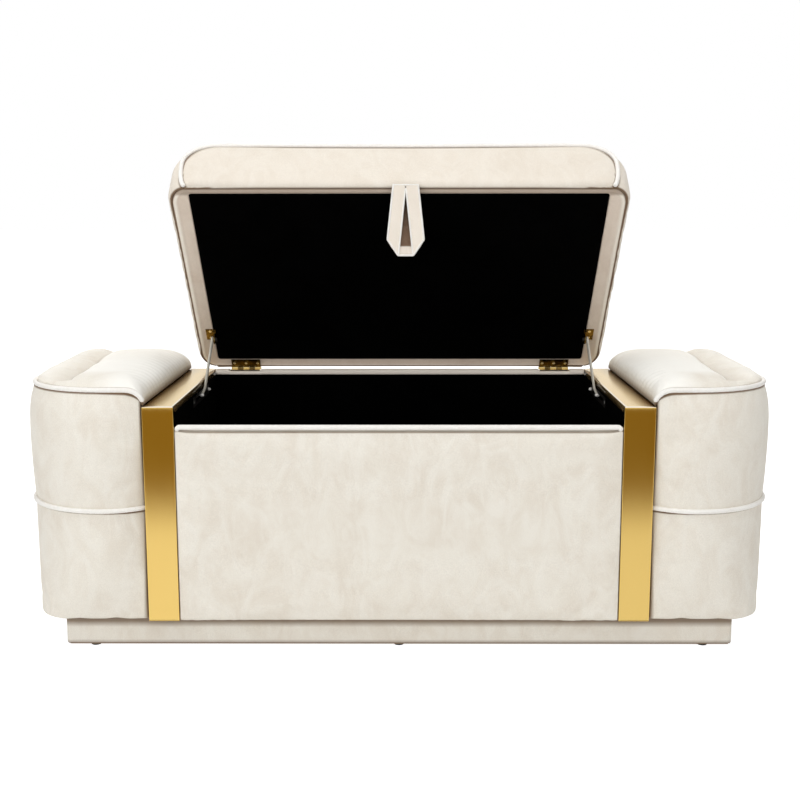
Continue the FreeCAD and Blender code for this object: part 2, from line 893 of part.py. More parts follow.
track_front = axis_y - shut_reach - slot_radius - 3 * track_screw_inset
track_back = axis_y - track_back_reach
track_floor = wall_face + track_thickness


def track_screw_places():
    ends = (track_front + track_screw_inset, track_back - track_screw_inset)
    return [vec(wall_face, y, track_z) for y in ends]


# The track lies in a recess through the side lining into the side board

def track_bar(margin):
    y0 = track_front - margin
    y1 = track_back + margin
    half = track_height / 2 + margin
    return block(wall_face, track_floor, y0, y1, track_z - half, track_z + half)


def stay_track():
    lip_slot = slot_bar(wall_face, wall_face + track_lip, slot_radius)
    head_slot = slot_bar(wall_face + track_lip, track_floor, track_head / 2 + track_play)
    return drilled(track_bar(0).cut(lip_slot.fuse(head_slot)), track_screw_places(), vec(1, 0, 0))


# Pull tab: a folded strap, hanging from the front edge of the open lid

def lid_front_edge():
    reach = lid_reach * math.cos(open_turn) - lid_base * math.sin(open_turn)
    rise = lid_reach * math.sin(open_turn) + lid_base * math.cos(open_turn)
    return vec(0, axis_y - reach, axis_z + rise)


def pull_tab():
    edge = lid_front_edge()
    y1 = edge.y - tab_gap
    y0 = y1 - 2 * tab_layer
    top = edge.z + tab_edge_rise
    foot = top - tab_length
    widest = foot + tab_mitre

    def at(x, z):
        return vec(tab_offset + x, y0, z)

    outline = [
        at(-tab_top_width / 2, top), at(tab_top_width / 2, top),
        at(tab_width / 2, widest), at(tab_bottom_width / 2, foot),
        at(-tab_bottom_width / 2, foot), at(-tab_width / 2, widest),
    ]
    slot_foot = foot + tab_slot_foot
    slot_half = tab_slot_width / 2
    slot = [at(0, top - tab_slot_top), at(slot_half, slot_foot), at(-slot_half, slot_foot)]
    solid = polygon_prism(outline, vec(0, 2 * tab_layer, 0))
    return solid.cut(polygon_prism(slot, vec(0, tab_layer, 0)))


# Every node by name

def box_nodes():
    back_cover = drilled(back_panel_cover(), rim_screws, vec(0, 0, -1))
    back_board = drilled(box_back_board(), rim_screws, vec(0, 0, -1))
    side_board = drilled(box_side_board().cut(track_bar(track_fit)), track_screw_places(), vec(1, 0, 0))
    side_lining = lining_side().cut(track_bar(track_fit))
    return {
        "plinth_long_rails": plinth_long_rails(),
        "plinth_cross_rails": plinth_cross_rails(),
        "plinth_wrap": plinth_wrap_strips(),
        "floor_glides": floor_glides(),
        "base_board": base_board(),
        "box_front_board": box_front_board(),
        "box_back_board": back_board,
        "box_right_board": side_board,
        "box_left_board": mirrored(side_board),
        "lining_floor": lining_floor(),
        "lining_front": lining_front(),
        "lining_back": lining_back(),
        "lining_right": side_lining,
        "lining_left": mirrored(side_lining),
        "front_panel_foam": front_panel_foam(),
        "front_panel_cover": front_panel_cover(),
        "front_panel_piping": front_panel_piping(),
        "back_panel_cover": back_cover,
    }


def side_nodes():
    shapes = {
        "band": metal_band(),
        "block_inner_board": block_inner_board(),
        "block_outer_board": block_outer_board(),
        "block_front_board": block_end_board(frame_front),
        "block_back_board": block_end_board(frame_back - board),
        "block_top_board": block_top_board(),
        "block_foam": block_foam(),
        "block_cover": block_cover(),
        "block_edge_piping": block_edge_piping(),
        "block_seam_piping": block_seam_piping(),
        "stay_track": stay_track(),
        "stay_bracket": opened(stay_bracket()),
        "stay_rod": stay_rod_shape(),
    }
    nodes = {}
    for name, shape in shapes.items():
        nodes["right_" + name] = shape
        nodes["left_" + name] = mirrored(shape)
    return nodes


def lid_nodes():
    up = vec(0, 0, 1)
    fixings = lid_screws + bracket_screw_places() + [vec(-p.x, p.y, p.z) for p in bracket_screw_places()]
    front_y = lid_y(lid_reach) - piping_radius - soft_gap
    back_y = lid_y(lid_hinge_gap) + piping_radius + soft_gap
    return {
        "lid_board": opened(drilled(lid_board_shape(), fixings, up)),
        "lid_foam": opened(lid_foam_shape()),
        "lid_cover": opened(drilled(lid_cover_shape(), fixings, up)),
        "lid_lining": opened(lid_lining_shape()),
        "lid_front_piping": opened(lid_end_piping(front_y)),
        "lid_back_piping": opened(lid_end_piping(back_y)),
        "pull_tab": pull_tab(),
    }


def hardware_nodes():
    return {
        "hinge_rim_leaves": hinge_rim_leaves(),
        "hinge_lid_leaves": opened(hinge_lid_leaves()),
        "hinge_pins": hinge_pins(),
        "hinge_rim_screws": screws(rim_screws, vec(0, 0, -1)),
        "hinge_lid_screws": opened(screws(lid_screws, vec(0, 0, 1))),
        "bracket_screws": opened(both_sides(screws(bracket_screw_places(), vec(0, 0, 1)))),
        "stay_pivots": opened(both_sides(stay_pivot_shape())),
        "track_screws": both_sides(screws(track_screw_places(), vec(1, 0, 0))),
    }


def main():
    os.makedirs("parts", exist_ok=True)
    nodes = {**box_nodes(), **side_nodes(), **lid_nodes(), **hardware_nodes()}
    for name, shape in nodes.items():
        shape.exportStep("parts/" + name + ".step")
        print(name, len(shape.Solids), round(shape.Volume), shape.isValid())
    slot_run = shut_reach - track_open_reach
    print(len(nodes), "nodes; rod", round(rod_length, 3), "slot run", round(slot_run, 2))


main()
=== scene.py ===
import math
import bpy
import numpy as np
from mathutils import Matrix, Vector


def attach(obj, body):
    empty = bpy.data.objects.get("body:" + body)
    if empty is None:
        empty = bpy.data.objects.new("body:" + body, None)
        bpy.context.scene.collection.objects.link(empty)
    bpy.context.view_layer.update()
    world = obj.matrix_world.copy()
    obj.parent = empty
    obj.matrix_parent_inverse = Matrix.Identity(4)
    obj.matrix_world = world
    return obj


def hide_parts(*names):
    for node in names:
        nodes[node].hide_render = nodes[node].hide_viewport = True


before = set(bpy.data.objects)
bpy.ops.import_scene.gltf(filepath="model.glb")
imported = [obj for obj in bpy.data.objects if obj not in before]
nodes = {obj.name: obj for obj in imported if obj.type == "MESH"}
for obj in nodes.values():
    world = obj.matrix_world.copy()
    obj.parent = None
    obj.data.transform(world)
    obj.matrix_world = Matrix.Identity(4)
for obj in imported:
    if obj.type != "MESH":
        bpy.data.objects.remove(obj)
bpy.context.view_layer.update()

mm = 0.001
scene = bpy.context.scene
scene.view_settings.view_transform = "Standard"
bothSides = (("right", 1), ("left", -1))  # a side's name and the sign of its x
print("frame loaded:", len(nodes), "nodes")

cameraPlace = {"lens": 53.19, "sensor": 36, "at": (9.08, -2018.61, 711.59), "pitch": 9.439, "yaw": -0.222, "roll": -0.030}


# line of sight from yaw and pitch, right and up square to it and turned by roll; degrees and millimetres
def placeCamera(place):
    pitch, yaw, roll = (math.radians(place[key]) for key in ("pitch", "yaw", "roll"))
    ahead = Vector((math.sin(yaw) * math.cos(pitch), math.cos(yaw) * math.cos(pitch), -math.sin(pitch)))
    right = Vector((math.cos(yaw), -math.sin(yaw), 0))
    up = right.cross(ahead)
    right, up = right * math.cos(roll) + up * math.sin(roll), up * math.cos(roll) - right * math.sin(roll)
    data = bpy.data.cameras.new("photoCamera")
    data.lens, data.sensor_width = place["lens"], place["sensor"]
    camera = bpy.data.objects.new("photoCamera", data)
    turn = Matrix((right, up, -ahead)).transposed()
    camera.matrix_world = Matrix.Translation(Vector(place["at"]) * mm) @ turn.to_4x4()
    scene.collection.objects.link(camera)
    scene.camera = camera


placeCamera(cameraPlace)


# a shader node with its settings and the plain values of its sockets
def addNode(tree, kind, values=None, **settings):
    node = tree.nodes.new("ShaderNode" + kind)
    for key, value in settings.items():
        setattr(node, key, value)
    for key, value in (values or {}).items():
        node.inputs[key].default_value = value
    return node


# a socket takes a number as it is, a colour with alpha 1, or a link from another node
def feed(tree, socket, value):
    if isinstance(value, (int, float)):
        socket.default_value = value
    elif isinstance(value, tuple):
        socket.default_value = (*value, 1)
    else:
        tree.links.new(value, socket)


# a value moved from one span to another along a smooth step
def remap(tree, value, low, high, toLow=0.0, toHigh=1.0):
    node = addNode(tree, "MapRange", {"From Min": low, "From Max": high, "To Min": toLow, "To Max": toHigh},
                   interpolation_type="SMOOTHSTEP")
    feed(tree, node.inputs["Value"], value)
    return node.outputs["Result"]


# one sum, product or other operation on two values
def maths(tree, operation, first, second):
    node = addNode(tree, "Math", operation=operation)
    feed(tree, node.inputs[0], first)
    feed(tree, node.inputs[1], second)
    return node.outputs[0]


# two values added in the given shares
def weigh(tree, first, firstShare, second, secondShare):
    return maths(tree, "ADD", maths(tree, "MULTIPLY", first, firstShare), maths(tree, "MULTIPLY", second, secondShare))


# first colour to second colour by the share
def mixColour(tree, share, first, second, blend="MIX"):
    node = addNode(tree, "Mix", data_type="RGBA", blend_type=blend)
    for spot, value in ((0, share), (6, first), (7, second)):
        feed(tree, node.inputs[spot], value)
    return node.outputs[2]


# the point on the object, stretched where asked
def objectPoint(tree, scale=None):
    place = addNode(tree, "TexCoord").outputs["Object"]
    if scale is None:
        return place
    mapping = addNode(tree, "Mapping", {"Scale": scale})
    feed(tree, mapping.inputs["Vector"], place)
    return mapping.outputs["Vector"]


# colour mixed by a value painted on the mesh; the value comes back too
def mixPainted(tree, name, colour, painted):
    share = addNode(tree, "Attribute", attribute_name=name).outputs["Fac"]
    return mixColour(tree, share, colour, painted), share


# an effect group: a point and named numbers go in, named values come out
def newGroup(name, numbers, results):
    group = bpy.data.node_groups.new(name, "ShaderNodeTree")
    group.interface.new_socket("Point", in_out="INPUT", socket_type="NodeSocketVector")
    for label, value in numbers.items():
        group.interface.new_socket(label, in_out="INPUT", socket_type="NodeSocketFloat").default_value = value
    for label in results:
        group.interface.new_socket(label, in_out="OUTPUT", socket_type="NodeSocketFloat")
    enter, leave = group.nodes.new("NodeGroupInput"), group.nodes.new("NodeGroupOutput")

    # one noise layer: the point stretched and turned, read at the scale that comes in under the key
    def layer(key, stretch, turn, detail, rough, distortion):
        mapping = addNode(group, "Mapping", {"Scale": stretch, "Rotation": turn})
        texture = addNode(group, "TexNoise", {"Detail": detail, "Roughness": rough, "Distortion": distortion})
        feed(group, mapping.inputs["Vector"], enter.outputs["Point"])
        feed(group, texture.inputs["Vector"], mapping.outputs["Vector"])
        feed(group, texture.inputs["Scale"], enter.outputs[key])
        return texture.outputs["Fac"]

    return group, leave, layer


# brushed pile: broad patches, slanted strokes and fine fibre grain
def makeNapGroup():
    group, leave, layer = newGroup("velvetNap", {"Patch Scale": 11.0, "Stroke Scale": 26.0, "Grain Scale": 900.0},
                                   ("Patch", "Stroke", "Grain", "Height"))
    patch = remap(group, layer("Patch Scale", (1, 1, 1), (0.3, 0.2, 0.1), 6.0, 0.62, 1.1), 0.32, 0.70)
    stroke = remap(group, layer("Stroke Scale", (1, 0.8, 0.5), (0.1, 0.75, 0.2), 6.0, 0.66, 1.4), 0.34, 0.70)
    grain = remap(group, layer("Grain Scale", (1, 1, 1), (0, 0, 0), 2.0, 0.6, 0.0), 0.2, 0.8)
    fibre = remap(group, layer("Grain Scale", (0.35, 0.35, 0.35), (0.4, 0.3, 0.2), 3.0, 0.65, 0.2), 0.2, 0.8)
    height = weigh(group, grain, 0.6, fibre, 0.4)
    for label, value in (("Patch", patch), ("Stroke", stroke), ("Grain", grain), ("Height", height)):
        feed(group, leave.inputs[label], value)
    return group


# long drawn scratches of brushed metal and a soft clouding of its polish
def makeBrushGroup():
    group, leave, layer = newGroup("brushedMetal", {"Scratch Scale": 700.0, "Cloud Scale": 9.0}, ("Scratch", "Cloud"))
    feed(group, leave.inputs["Scratch"], layer("Scratch Scale", (1, 0.02, 0.02), (0, 0, 0), 3.0, 0.6, 0.0))
    cloud = layer("Cloud Scale", (1, 1, 1), (0, 0, 0), 3.0, 0.55, 0.5)
    feed(group, leave.inputs["Cloud"], remap(group, cloud, 0.3, 0.7))
    return group


napGroup = makeNapGroup()
brushGroup = makeBrushGroup()


# an effect group at the object's own points, with its scales in order; its outputs come back
def useGroup(tree, group, *scales):
    node = addNode(tree, "Group", node_tree=group)
    for socket, value in zip(node.inputs[1:], scales):
        socket.default_value = value
    feed(tree, node.inputs["Point"], objectPoint(tree))
    return node.outputs


# a material of one principled shader with its constant values
def newMaterial(name, constants):
    material = bpy.data.materials.new(name)
    material.use_nodes = True
    tree = material.node_tree
    shader = next(node for node in tree.nodes if node.type == "BSDF_PRINCIPLED")
    for key, value in constants.items():
        shader.inputs[key].default_value = value
    return material, tree, shader


# colour, roughness and, where given, a bumped height into the shader
def finishShader(tree, shader, colour, rough, height=None, strength=0.0, distance=0.0):
    feed(tree, shader.inputs["Base Color"], colour)
    feed(tree, shader.inputs["Roughness"], rough)
    if height is not None:
        bump = addNode(tree, "Bump", {"Strength": strength, "Distance": distance})
        feed(tree, bump.inputs["Height"], height)
        feed(tree, shader.inputs["Normal"], bump.outputs["Normal"])


velvetLook = {
    "pale": (0.845, 0.800, 0.712), "deep": (0.785, 0.722, 0.628), "stroke": (0.880, 0.845, 0.768),
    "paintedShadeColour": (0.20, 0.13, 0.08), "scales": (10.0, 24.0, 950.0), "sheen": 0.32, "sheenRough": 0.42,
    "sheenTint": (1.0, 0.97, 0.92, 1), "bump": 0.22,
}
velvetLooks = {
    "creamVelvet": velvetLook,
    # the paintedLight colours are painted light
    "topVelvet": {**velvetLook, "paintedLight": (0.970, 0.951, 0.896)},
    # a darker, warmer copy of the cream velvet for the lid, its tab and the back rim: painted shade
    "lidShadedVelvet": {**velvetLook, "pale": (0.818, 0.750, 0.655), "deep": (0.778, 0.704, 0.606),
                  "stroke": (0.842, 0.782, 0.694), "paintedLight": (0.990, 0.900, 0.795)},
    # a darker, warmer copy of the cream velvet for the underside border, which faces down: painted shade
    "borderShadedVelvet": {**velvetLook, "pale": (0.800, 0.690, 0.585), "deep": (0.755, 0.635, 0.530),
                     "stroke": (0.830, 0.725, 0.620), "paintedLight": (0.930, 0.870, 0.770)},
    "pipingVelvet": {**velvetLook, "pale": (0.935, 0.912, 0.870), "deep": (0.895, 0.862, 0.810),
                     "stroke": (0.945, 0.928, 0.895), "scales": (22.0, 60.0, 1300.0), "sheen": 0.35,
                     "sheenRough": 0.4, "sheenTint": (1.0, 0.98, 0.95, 1), "bump": 0.15},
}


# deep to pale by the patches, strokes over that, specks of grain, then painted light on tops and ridges and painted
# shade in seams and creases
def makeVelvet(name, look):
    material, tree, shader = newMaterial(name, {
        "Sheen Weight": look["sheen"], "Sheen Roughness": look["sheenRough"], "Sheen Tint": look["sheenTint"],
        "Specular IOR Level": 0.15})
    nap = useGroup(tree, napGroup, *look["scales"])
    colour = mixColour(tree, nap["Patch"], look["deep"], look["pale"])
    colour = mixColour(tree, maths(tree, "MULTIPLY", nap["Stroke"], 0.75), colour, look["stroke"])
    colour = mixColour(tree, 1.0, colour, remap(tree, nap["Grain"], 0.0, 1.0, 0.925, 1.05), "MULTIPLY")
    # painted light: the pale colour mixed in where the mesh carries it
    if "paintedLight" in look:
        colour, _ = mixPainted(tree, "paintedLight", colour, look["paintedLight"])
    # painted shade: the dark colour mixed in by the seam value on the mesh
    colour, _ = mixPainted(tree, "seam", colour, look["paintedShadeColour"])
    rough = remap(tree, nap["Patch"], 0.0, 1.0, 0.95, 0.82)
    finishShader(tree, shader, colour, rough, nap["Height"], look["bump"], 0.0006)
    return material


velvet, topVelvet, lidShadedVelvet, borderShadedVelvet, pipingVelvet = (makeVelvet(*pair) for pair in velvetLooks.items())

metalLooks = {
    # the gold band's edge colour is a painted highlight; its fold colour is painted brown and painted dark reflection
    "goldBand": {"metallic": 1.0, "bright": (0.935, 0.655, 0.213), "deep": (0.915, 0.635, 0.203),
                 "rough": (0.12, 0.15), "streak": 0.012, "scales": (900.0, 5.0), "edge": (1.0, 0.965, 0.88),
                 "fold": (0.30, 0.195, 0.085)},
    "hingeBrass": {"metallic": 1.0, "bright": (0.78, 0.62, 0.30), "deep": (0.66, 0.50, 0.22),
                   "rough": (0.08, 0.16), "streak": 0.03, "scales": (900.0, 70.0)},
    # very dark brass for the lid's hinge leaves and the stay brackets
    "nearBlackBrass": {"metallic": 1.0, "bright": (0.30, 0.215, 0.08), "deep": (0.10, 0.07, 0.028),
                  "rough": (0.12, 0.22), "streak": 0.03, "scales": (900.0, 70.0)},
    "paleBrass": {"metallic": 0.6, "bright": (1.0, 0.90, 0.62), "deep": (0.90, 0.77, 0.46),
                  "rough": (0.12, 0.22), "streak": 0.02, "scales": (900.0, 70.0)},
    "brightScrew": {"metallic": 0.0, "bright": (0.95, 0.93, 0.89), "deep": (0.86, 0.83, 0.78),
                    "rough": (0.22, 0.34), "streak": 0.02, "scales": (1200.0, 60.0)},
    "brightRod": {"metallic": 0.25, "bright": (0.68, 0.65, 0.57), "deep": (0.57, 0.54, 0.46),
                  "rough": (0.10, 0.20), "streak": 0.02, "scales": (1200.0, 60.0)},
}


# deep to bright by the clouding, a painted highlight along edges, painted brown and painted dark reflection on folds,
# less metallic there; roughness from scratches and clouding
def makeMetal(name, look):
    material, tree, shader = newMaterial(name, {"Metallic": look["metallic"]})
    brush = useGroup(tree, brushGroup, *look["scales"])
    colour = mixColour(tree, brush["Cloud"], look["deep"], look["bright"])
    if "edge" in look:
        colour, _ = mixPainted(tree, "edge", colour, look["edge"])
        colour, fold = mixPainted(tree, "fold", colour, look["fold"])
        feed(tree, shader.inputs["Metallic"], remap(tree, fold, 0.5, 1.0, 1.0, 0.3))
    rough = remap(tree, weigh(tree, brush["Scratch"], 0.6, brush["Cloud"], 0.4), 0.2, 0.8, *look["rough"])
    finishShader(tree, shader, colour, rough, brush["Scratch"], look["streak"], 0.0002)
    return material


gold, brass, darkBrass, paleBrass, nickel, steel = (makeMetal(*pair) for pair in metalLooks.items())


# black cloth: two near blacks by the patches, duller between the strokes
def makeLining():
    material, tree, shader = newMaterial("blackLining", {"Specular IOR Level": 0.02})
    nap = useGroup(tree, napGroup, 7.0, 40.0, 1400.0)
    colour = mixColour(tree, nap["Patch"], (0.0003, 0.0003, 0.0003), (0.0008, 0.0008, 0.0008))
    finishShader(tree, shader, colour, remap(tree, nap["Stroke"], 0.0, 1.0, 0.98, 0.88), nap["Height"], 0.2, 0.0003)
    return material


# a dark colour to its double by the clouding, roughness a little either way by the scratches
def makeBlack(name, colour, rough):
    material, tree, shader = newMaterial(name, {"Metallic": 0.6})
    brush = useGroup(tree, brushGroup, 1500.0, 60.0)
    finishShader(tree, shader, mixColour(tree, brush["Cloud"], colour, tuple(2 * c for c in colour)),
                 remap(tree, brush["Scratch"], 0.2, 0.8, rough - 0.08, rough + 0.08))
    return material


# plywood: grain drawn out along x, with thin darker plies up its thickness
def makeBoard():
    material, tree, shader = newMaterial("plywood", {})

    # noise at a stretched point
    def noise(stretch, scale, detail, rough, distortion):
        node = addNode(tree, "TexNoise", {"Scale": scale, "Detail": detail, "Roughness": rough,
                                          "Distortion": distortion})
        feed(tree, node.inputs["Vector"], objectPoint(tree, stretch))
        return node.outputs["Fac"]

    grain, ply = noise((2, 40, 40), 9.0, 4.0, 0.6, 1.2), noise((1, 1, 700), 1.0, 0.0, 0.5, 0.0)
    colour = mixColour(tree, remap(tree, grain, 0.3, 0.7), (0.52, 0.36, 0.21), (0.70, 0.53, 0.34))
    colour = mixColour(tree, remap(tree, ply, 0.45, 0.55, 0.0, 0.25), colour, (0.34, 0.22, 0.12))
    finishShader(tree, shader, colour, remap(tree, grain, 0.2, 0.8, 0.55, 0.75), grain, 0.15, 0.0005)
    return material


# backing cloth with painted shade: darker towards its sewn top, pale at its turned-up foot
def makeTabBacking():
    material, tree, shader = newMaterial("shadedTabBacking", {"Specular IOR Level": 0.05})
    nap = useGroup(tree, napGroup, 60.0, 120.0, 1500.0)
    parts = addNode(tree, "SeparateXYZ")
    feed(tree, parts.inputs[0], objectPoint(tree))
    height = parts.outputs["Z"]
    colour = mixColour(tree, remap(tree, height, 0.725, 0.645), (0.012, 0.006, 0.003), (0.17, 0.105, 0.07))
    colour = mixColour(tree, remap(tree, height, 0.643, 0.640), colour, (0.80, 0.72, 0.64))
    colour = mixColour(tree, maths(tree, "MULTIPLY", nap["Stroke"], 0.12), colour, (0.45, 0.36, 0.28))
    finishShader(tree, shader, colour, remap(tree, nap["Patch"], 0.0, 1.0, 0.95, 0.85))
    return material


lining, board, shadedTabBacking = makeLining(), makeBoard(), makeTabBacking()
blackMetal = makeBlack("blackMetal", (0.010, 0.009, 0.008), 0.42)
blackPlastic = makeBlack("blackPlastic", (0.012, 0.012, 0.012), 0.6)
print("materials made")


# an s-shaped rise from 0 at low to 1 at high
def smoothStep(value, low, high):
    share = np.clip((value - low) / (high - low), 0, 1)
    return share * share * (3 - 2 * share)


# quarter-round rise from 0 at the edge to 1 at the given width
def roundRise(distance, width):
    share = np.clip(distance / width, 0, 1)
    return np.sqrt(1 - (1 - share) ** 2)


# steps from 0 to 1: a cosine's share gathers them at both ends, the rest is even
def eased(count, share):
    even = np.linspace(0, 1, count)
    return share * (0.5 - 0.5 * np.cos(np.pi * even)) + (1 - share) * even


# even angles over a quarter turn
def quarter(count):
    return np.radians(np.linspace(0, 90, count))


# how far along a bent line each of its points lies
def runLength(points):
    return np.concatenate([np.zeros(1), np.cumsum(np.linalg.norm(np.diff(points, axis=0), axis=1))])


# evenly spaced points along a bent line
def evenly(points, step):
    points = np.asarray(points, float)
    along = runLength(points)
    spots = np.linspace(0, along[-1], max(int(round(along[-1] / step)), 2) + 1)
    return np.stack([np.interp(spots, along, column) for column in points.T], -1)


# smooth value noise on a plane: seeded sines of nine directions
def softNoise(a, b, size, seed):
    rng = np.random.default_rng(seed)
    full = 2 * np.pi
    total = np.zeros(np.broadcast(a, b).shape)
    for turn, phase, stretch in zip(rng.uniform(0, full, 9), rng.uniform(0, full, 9), rng.uniform(0.6, 1.7, 9)):
        total += np.sin((a * math.cos(turn) + b * math.sin(turn)) * full * stretch / size + phase)
    return total / 5


# points of a grid from three coordinates spread to one shape
def gridOf(x, y, z):
    return np.stack(np.broadcast_arrays(x, y, z), -1)


# quads of a grid of rows by columns, closed over the ends where asked
def gridQuads(rows, cols, closeRows=False, closeCols=False):
    index = np.arange(rows * cols).reshape(rows, cols)
    if closeRows:
        index = np.vstack([index, index[:1]])
    if closeCols:
        index = np.hstack([index, index[:, :1]])
    return np.stack([index[:-1, :-1], index[:-1, 1:], index[1:, 1:], index[1:, :-1]], -1).reshape(-1, 4)


# quads round a stack of rings, with strips of quads across the first and last ring
def ringQuads(rows, cols):
    half = cols // 2

    # a ring's first half joined to its second half
    def across(ring):
        low, high = ring[:half], ring[half:][::-1]
        return np.stack([low[:-1], low[1:], high[1:], high[:-1]], -1)

    first, last = np.arange(cols), (rows - 1) * cols + np.arange(cols)
    return np.concatenate([gridQuads(rows, cols, closeCols=True), across(first)[:, ::-1], across(last)])


# a smooth mesh in metres from points in millimetres
def makeMesh(name, points, faces):
    mesh = bpy.data.meshes.new(name)
    mesh.from_pydata((np.asarray(points, float).reshape(-1, 3) * mm).tolist(), [], faces.tolist())
    mesh.update()
    mesh.polygons.foreach_set("use_smooth", np.ones(len(mesh.polygons), bool))
    return mesh


# six times the enclosed volume, negative where faces point inwards
def signedVolume(points, faces):
    a, b, c, d = (points[faces[:, k]] for k in range(4))
    return np.einsum("ij,ij->", a, np.cross(b, c)) + np.einsum("ij,ij->", a, np.cross(c, d))


# how far faces look away from a point inside: the sum of normal times distance
def facingAway(points, faces, inside):
    a, b, d = (points[faces[:, k]] for k in (0, 1, 3))
    return np.einsum("ij,ij->", np.cross(b - a, d - a), a - np.asarray(inside, float))


# a value for each point of the mesh, for the materials
def paint(piece, name, values):
    data = piece.data.attributes.new(name, "FLOAT", "POINT").data
    data.foreach_set("value", np.asarray(values, np.float32).ravel())


# a mesh of one material that rides a body, with the solids that it stands for; its slot is not used
def addPiece(name, points, faces, material, body, slot, replaced=(), smooth=0):
    piece = bpy.data.objects.new(name, makeMesh(name, points, faces))
    scene.collection.objects.link(piece)
    piece.data.materials.append(material)
    if smooth:
        finish = piece.modifiers.new("smooth", "SUBSURF")
        finish.levels = finish.render_levels = smooth
    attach(piece, body)
    if replaced:
        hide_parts(*replaced)
    return piece


# a closed piece, its faces turned over where the volume comes out negative
def makePiece(name, points, faces, *rest):
    points = np.asarray(points, float).reshape(-1, 3)
    if signedVolume(points - points.mean(0), faces) < 0:
        faces = faces[:, ::-1]
    return addPiece(name, points, faces, *rest)


# a closed shell: the sheet, its copy set inwards along the normals by the wall, and the edges between them
def makeShell(name, sheet, wall, inside, material, body, slot, shade, replaced=()):
    rows, cols = sheet.shape[:2]
    normals = np.cross(np.gradient(sheet, axis=0), np.gradient(sheet, axis=1))
    normals /= np.maximum(np.linalg.norm(normals, axis=-1, keepdims=True), 1e-9)
    side = np.sign(np.einsum("ijk,ijk->", normals, np.asarray(inside, float) - sheet))
    outer, inner = sheet.reshape(-1, 3), (sheet + normals * wall * side).reshape(-1, 3)
    count = rows * cols
    index = np.arange(count).reshape(rows, cols)
    rim = np.concatenate([index[0, :-1], index[:-1, -1], index[-1, :0:-1], index[:0:-1, 0]])
    after = np.roll(rim, -1)
    face = gridQuads(rows, cols)
    faces = np.concatenate([face, face[:, ::-1] + count, np.stack([rim, rim + count, after + count, after], -1)])
    if facingAway(outer, face, inside) < 0:
        faces = faces[:, ::-1]
    piece = addPiece(name, np.concatenate([outer, inner]), faces, material, body, slot, replaced, smooth=1)
    # painted shade on the sheet and on its copy
    paint(piece, "seam", np.tile(shade.ravel(), 2))
    return piece


# painted shade near the sewn edges of a sheet: 1 on the edge, fading out over the reach
def seamShade(sheet, **reaches):
    down = np.cumsum(np.linalg.norm(np.diff(sheet, axis=0), axis=-1), 0)
    over = np.cumsum(np.linalg.norm(np.diff(sheet, axis=1), axis=-1), 1)
    fromTop = np.vstack([np.zeros((1, sheet.shape[1])), down])
    fromLeft = np.hstack([np.zeros((sheet.shape[0], 1)), over])
    far = {"first": fromTop, "last": fromTop[-1:] - fromTop, "left": fromLeft, "right": fromLeft[:, -1:] - fromLeft}
    shade = np.zeros(sheet.shape[:2])
    for name, reach in reaches.items():
        shade = np.maximum(shade, 1 - smoothStep(far[name], reach * 0.84, reach))
    return shade


# a round cord along a path: rings square to it, turned by the outward direction, rippled and domed at the ends
def makeTube(name, path, radius, outward, material, body, slot, replaced=(), sides=12, ripple=0.0, pitch=9.0):
    path = np.asarray(path, float)
    tangent = np.gradient(path, axis=0)
    tangent /= np.linalg.norm(tangent, axis=1, keepdims=True)
    dome = np.radians([90, 75, 50, 25])
    start = path[0] - tangent[0] * radius * np.sin(dome)[:, None]
    finish = path[-1] + tangent[-1] * radius * np.sin(dome)[::-1, None]
    tip = np.cos(dome) + 0.02
    size = np.concatenate([tip, 1 + ripple * np.sin(2 * np.pi * runLength(path) / pitch), tip[::-1]])
    spine = np.concatenate([start, path, finish])

    # the end values repeated over the domes
    def held(values):
        return np.concatenate([np.repeat(values[:1], len(dome), 0), values, np.repeat(values[-1:], len(dome), 0)])

    heading, guide = held(tangent), held(np.broadcast_to(np.asarray(outward, float), path.shape))
    first = np.cross(heading, guide)
    first /= np.linalg.norm(first, axis=1, keepdims=True)
    second = np.cross(first, heading)
    turn = np.linspace(0, 2 * np.pi, sides, endpoint=False)[None, :, None]
    ring = np.cos(turn) * first[:, None] + np.sin(turn) * second[:, None]
    rings = spine[:, None] + ring * (radius * size)[:, None, None]
    return makePiece(name, rings, ringQuads(*rings.shape[:2]), material, body, slot, replaced)


swellSettings = {"frames": 20, "pressure": 4.0, "quality": 5, "tension": 20.0, "bending": 2.0, "damping": 5.0,
                 "spare": 0.01}


